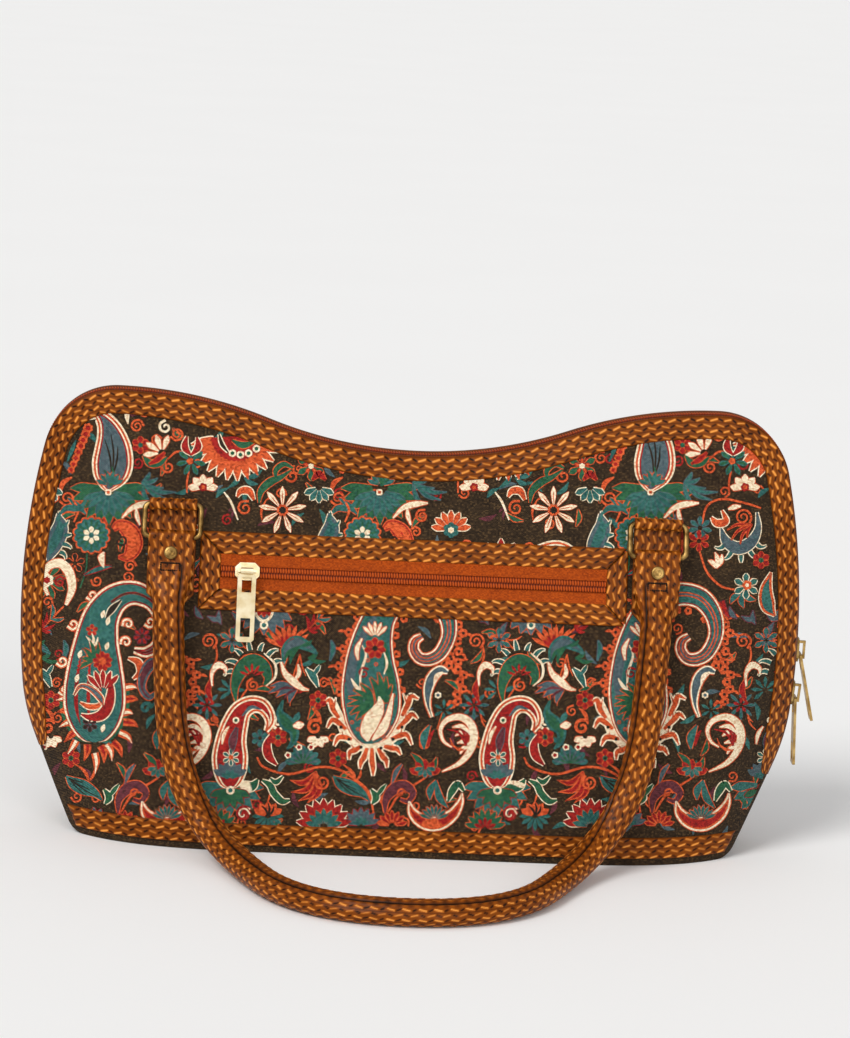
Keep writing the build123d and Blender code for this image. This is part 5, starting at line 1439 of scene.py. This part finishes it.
# The last of these is the lightness painted on the chape's sunken border, a painted shade.
plait_rise, wrap_rise, border_sink, border_radius, border_painted_shade = 0.7, 0.6, 0.4, 1.2, 0.1
wrap_start, wrap_end, wrap_along = np.radians(292.0), np.radians(-25.0), 180.0
climb = np.linspace(chape_foot, chape_top, climb_steps)
wrap = np.linspace(wrap_start, wrap_end, wrap_steps)
over = np.concatenate([[0.0], np.linspace(0, 1, 37), [1.0]])
cut = np.clip((chape_foot + chape_cut - climb) / chape_cut, 0, 1) * chape_cut
narrow = 1 - np.concatenate([cut, np.zeros(wrap_steps)])[:, None] / (chape_width / 2)
chape_x = ring_x + ((over - 0.5) * chape_width)[None, :] * narrow
length = np.concatenate([climb, wrap_along + chape_roll * (wrap_start - wrap)])[:, None]
over_all = np.broadcast_to(over[None, :], chape_x.shape)
rise, painted_light = plait(np.broadcast_to(length, chape_x.shape), over_all, chape_rows)
border = np.zeros(chape_x.shape, bool)
border[:, [0, -1]] = True
border[[0, -1], :] = True
thick = np.where(border, -border_sink, chape_thickness - plait_rise + plait_rise * rise)
flat_z = np.concatenate([climb, np.full(wrap_steps, chape_top)])[:, None]
flat_z = np.broadcast_to(flat_z, chape_x.shape)
flat_y = -depth(chape_x, flat_z) - trim_gap - thick
radius = np.where(border, border_radius, chape_roll - wrap_rise + wrap_rise * rise)
angle = np.concatenate([np.zeros(climb_steps), wrap])[:, None]
on_wrap = np.arange(climb_steps + wrap_steps)[:, None] >= climb_steps
chape_y = np.where(on_wrap, ring_y + radius * np.cos(angle), flat_y)
chape_z = np.where(on_wrap, ring_height + radius * np.sin(angle), flat_z)
# Painted light of the chape: the plait's painted highlights and shade, and painted shade, dark, along the
# border where it sinks into the cloth.
chape_painted_light = np.where(border, border_painted_shade, painted_light)
for face, way in (("front", 1), ("back", -1)):
    for side, hand in (("right", 1), ("left", -1)):
        tab_points = np.stack([hand * chape_x, way * chape_y, chape_z], axis=-1)
        tab = grid_piece(face + "_" + side + "_tab", tab_points, [braid], {"rise": chape_painted_light},
                         turned=way * hand > 0)
        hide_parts(face + "_" + side + "_chape")
        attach(tab, "bag")

# Rings: rounded oblongs of brass wire with an aged finish. Each hangs by its upper bar in a chape and
# leans out from the panel.
ring_lean, ring_half_width, ring_pitch, wire_radius, ring_bend = np.radians(23.0), 15.0, 18.0, 1.5, 3.2
ring_steps, wire_sides = 120, 16
ring_down = np.array([0.0, -np.sin(ring_lean), -np.cos(ring_lean)])
ring_out = np.array([0.0, -np.cos(ring_lean), np.sin(ring_lean)])
aged_brass = metal("aged_brass_wire", dye(96, 70, 34), dye(176, 142, 84), 0.36)


def round_loop(path):
    """Direction of a closed line at each of its points: from the point before to the point after."""
    along = np.roll(path, -1, axis=0) - np.roll(path, 1, axis=0)
    return along / np.linalg.norm(along, axis=1, keepdims=True)


bend_x, upper_bend, lower_bend = ring_half_width - ring_bend, -ring_bend, ring_bend - ring_pitch
bends = [arc(x, y, ring_bend, start, start + np.pi / 2, 9)
         for x, y, start in ((bend_x, upper_bend, 0.0), (-bend_x, upper_bend, np.pi / 2),
                             (-bend_x, lower_bend, np.pi), (bend_x, lower_bend, 1.5 * np.pi))]
loop = even(np.concatenate(bends + [bends[0][:1]]), ring_steps + 1)[:-1]
around = np.linspace(0, 2 * np.pi, wire_sides + 1)[:-1]
loop_out = -square_to(round_loop(loop))
wire = loop[:, None, :] + wire_radius * np.cos(around)[None, :, None] * loop_out[:, None, :]
lifted = np.broadcast_to(wire_radius * np.sin(around)[None, :], wire.shape[:2])
ring = np.array([0.0, ring_y, ring_height]) - wire[..., 1:] * ring_down + lifted[..., None] * ring_out
ring[..., 0] = ring_x + wire[..., 0]
ring_points, ring_quads = ring.reshape(-1, 3), grid_faces(ring_steps, wire_sides, True, True)
for face, way in (("front", 1), ("back", -1)):
    pair = np.concatenate([ring_points * [1, way, 1], ring_points * [-1, way, 1]])
    both = np.concatenate([ring_quads[:, ::way], ring_quads[:, ::-way] + len(ring_points)])
    rings = mesh_piece(face + "_wire_rings", pair, both, [aged_brass])
    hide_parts(face + "_rings")
    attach(rings, face + "_rings")

# Handles: a wide braid rolled and sewn with one long seam, its flat ends folded over the rings'
# lower bars. Each hangs down its side of the bag and its loop lies on the floor.
bar = np.array([ring_x, ring_y, ring_height]) + ring_pitch * ring_down
strap_down = np.array([0.0, -0.33984, -0.940483])
strap_straight = 21.0
knee, foot = np.array([130.0, -51.965, 122.0]), np.array([124.0, -62.483, 45.0])
floor_turn, toe = np.array([96.0, -80.0, 9.0]), np.array([52.0, -182.0, 9.0])
fold, strap_half, strap_half_thick, strap_square = 3.85, 12.25, 2.5, 0.3
neck_start, neck_end, roll_radius, roll_flat, roll_rows = 14.0, 38.0, 8.5, 6.1, 16
settle_height, settle_depth = 31.0, 2.2
seam_place, seam_twist, seam_start, seam_fade = 0.36, 0.125, 12.0, 6.0
handle_steps, handle_sides = 640, 72
half_route = np.array([bar - fold * strap_down, bar + strap_straight * strap_down,
                       knee, foot, floor_turn, toe])
route = np.concatenate([half_route, half_route[::-1] * [-1, 1, 1]])
middle = (route[1:] + route[:-1]) / 2
starts, ends = middle[:-1].copy(), middle[1:].copy()
starts[0], ends[-1] = route[0], route[-1]
t = np.linspace(0, 1, 40, endpoint=False)[None, :, None]
bow = (1 - t) ** 2 * starts[:, None] + 2 * t * (1 - t) * route[1:-1, None] + t ** 2 * ends[:, None]
line = even(np.vstack([bow.reshape(-1, 3), route[-1:]]), handle_steps)


def eased(share):
    """A share from 0 to 1 that starts and ends gently."""
    return share ** 2 * (3 - 2 * share)


settled = np.clip((floor_turn[2] + settle_height - line[:, 2]) / settle_height, 0, 1)
line[:, 2] -= settle_depth * eased(settled)
line_length = run_length(line)
from_end = np.minimum(line_length, line_length[-1] - line_length)[:, None] - fold
tangent = heading(line)
sideward = np.cross([0.0, -np.sin(ring_lean), np.cos(ring_lean)], tangent)
sideward /= np.linalg.norm(sideward, axis=1, keepdims=True)
outward = np.cross(tangent, sideward)
round_up = eased(np.clip((from_end - neck_start) / (neck_end - neck_start), 0, 1))
fold_half = fold * np.sqrt(np.clip(1 - (from_end / fold) ** 2, 0.0025, 1))
lap_half = strap_half_thick + (fold - strap_half_thick) * np.clip(1 - from_end / 7, 0, 1)
flat_half = np.where(from_end < 0, fold_half, lap_half)
half_across = strap_half + (roll_radius - strap_half) * round_up
half_thick = flat_half + (roll_flat - flat_half) * round_up
angle = np.linspace(0, 2 * np.pi, 721)
strap = np.stack([np.sign(np.cos(angle)) * np.abs(np.cos(angle)) ** strap_square * strap_half,
                  np.sign(np.sin(angle)) * np.abs(np.sin(angle)) ** strap_square * strap_half_thick], axis=-1)
strap = even(strap, handle_sides + 1)[:-1] / [strap_half, strap_half_thick]
share = np.linspace(0, 1, handle_sides + 1)[:-1][None, :]
rolled = np.stack([np.cos(2 * np.pi * share[0]), np.sin(2 * np.pi * share[0])], axis=-1)
skin_x = half_across * (strap[:, 0] + (rolled[:, 0] - strap[:, 0]) * round_up)
skin_y = half_thick * (strap[:, 1] + (rolled[:, 1] - strap[:, 1]) * round_up)
way_x = np.roll(skin_y, -1, axis=1) - np.roll(skin_y, 1, axis=1)
way_y = np.roll(skin_x, 1, axis=1) - np.roll(skin_x, -1, axis=1)
way_length = np.hypot(way_x, way_y) + 1e-6
rise, painted_light = plait(line_length[:, None] + 0 * share, share + 0 * round_up, roll_rows)
seam = (share - seam_place + seam_twist * settled[:, None]) * 2 * np.pi * roll_radius
groove, lips = np.exp(-(seam / 0.6) ** 2), np.exp(-((np.abs(seam) - 1.8) / 0.9) ** 2)
on_roll = np.clip((from_end - seam_start) / seam_fade, 0, 1)
sewn = on_roll * np.clip(groove + lips, 0, 1)
relief = (0.4 * rise - 0.35) * (1 - sewn) + on_roll * (0.4 * lips - 0.9 * groove)
relief = relief * np.clip((from_end + fold) / 3, 0, 1)
# Painted light along the seam: painted highlights on its two lips and painted shade in its groove, over the
# plait's own painted light.
lip_painted_highlight = 0.45 + 0.2 * np.sin(line_length[:, None] / 0.9)
painted_light = painted_light * (1 - sewn) + on_roll * lips * lip_painted_highlight * (1 - groove)
skin_x, skin_y = skin_x + relief * way_x / way_length, skin_y + relief * way_y / way_length
tube = line[:, None, :] + skin_x[..., None] * sideward[:, None, :] + skin_y[..., None] * outward[:, None, :]
handle_braid = braided("handle_braid_finish")
for face, way in (("front", 1), ("back", -1)):
    handle = grid_piece(face + "_rolled_handle", tube * [1, way, 1], [handle_braid], {"rise": painted_light},
                        loop_columns=True, turned=way > 0)
    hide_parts(face + "_handle")
    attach(handle, face + "_handle")

# Rivets: aged brass caps with a rounded head and a pressed middle, set through the folded ends. The
# caps on the inner side are half as tall.
rivet_reach, rivet_radius, rivet_rise, rivet_press = 9.0, 3.6, 1.7, 0.5
rivet_seat, inner_share, head_rings, head_sides = 2.4, 0.5, 14, 24
strap_across = np.array([1.0, 0.0, 0.0])
strap_out = np.cross(strap_down, strap_across)
t = np.linspace(0, 1, head_rings)[:, None]
head_r = rivet_radius * np.sin(np.clip(t * 1.08, 0, 1) * np.pi / 2) + 0.02
dome = rivet_rise * np.cos(t * np.pi / 2) ** 0.5 - rivet_press * np.exp(-(t / 0.28) ** 2)
head_h = np.where(t > 0.93, 0.0, dome) + rivet_seat
inner_h = rivet_seat + inner_share * (head_h - rivet_seat)
a = np.linspace(0, 2 * np.pi, head_sides + 1)[:-1][None, :]
head = bar + rivet_reach * strap_down + (head_r * np.cos(a))[..., None] * strap_across
head = head + (head_r * np.sin(a))[..., None] * strap_down
head_quads = grid_faces(head_rings, head_sides, loop_columns=True)
for face, way in (("front", 1), ("back", -1)):
    points, faces = [], []
    for hand in (1, -1):
        for out, tall in ((1, head_h), (-1, inner_h)):
            faces.append(head_quads[:, ::-hand * out * way] + len(points) * head_rings * head_sides)
            points.append((head + (out * tall + 0 * a)[..., None] * strap_out) * [hand, way, 1])
    cap_points = np.concatenate(points).reshape(-1, 3)
    caps = mesh_piece(face + "_rivet_caps", cap_points, np.concatenate(faces), [aged_brass])
    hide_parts(face + "_rivets")
    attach(caps, face + "_handle")

# Stitches: a small box of dark thread below each rivet holds the folded end together. The thread
# dips into the braid after every stitch.
dark_thread = woven("dark_thread", dye(18, 10, 6), dye(44, 26, 14), dye(30, 18, 10), rib=0.6)
stitch_low, stitch_high, stitch_half, thread_radius = 14.5, 18.5, 5.0, 0.45
stitch_seat, stitch_top, stitch_dip, stitch_steps, steps_per_stitch = 2.2, 0.55, 0.5, 96, 8
box = np.array([[-stitch_half, stitch_low], [stitch_half, stitch_low], [stitch_half, stitch_high],
                [-stitch_half, stitch_high], [-stitch_half, stitch_low]])
box = even(box, stitch_steps + 1)[:-1]
dips = stitch_top - stitch_dip * np.cos(np.arange(stitch_steps) * 2 * np.pi / steps_per_stitch) ** 8
a = np.linspace(0, 2 * np.pi, 7)[:-1]
box_out = -square_to(round_loop(box))
flat = box[:, None, :] + thread_radius * np.cos(a)[None, :, None] * box_out[:, None, :]
tall = stitch_seat + dips[:, None] + thread_radius * np.sin(a)[None, :]
sewing_points = bar + flat[..., :1] * strap_across + flat[..., 1:] * strap_down + tall[..., None] * strap_out
for face, way in (("front", 1), ("back", -1)):
    for side, hand in (("right", 1), ("left", -1)):
        sewing = grid_piece(face + "_" + side + "_stitches", sewing_points * [hand, way, 1], [dark_thread],
                            loop_rows=True, loop_columns=True, turned=hand * way < 0)
        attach(sewing, face + "_handle")

# Inside: the loose base board on the bottom and the flat pouch behind the pocket zip, both covered
# with a plain dark lining.
lining = woven("dark_lining", dye(26, 24, 22), dye(48, 44, 40), dye(36, 33, 30), rib=1.0)
for name in ("base_board", "pocket_pouch"):
    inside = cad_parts[name]
    inside.data.materials.clear()
    inside.data.materials.append(lining)
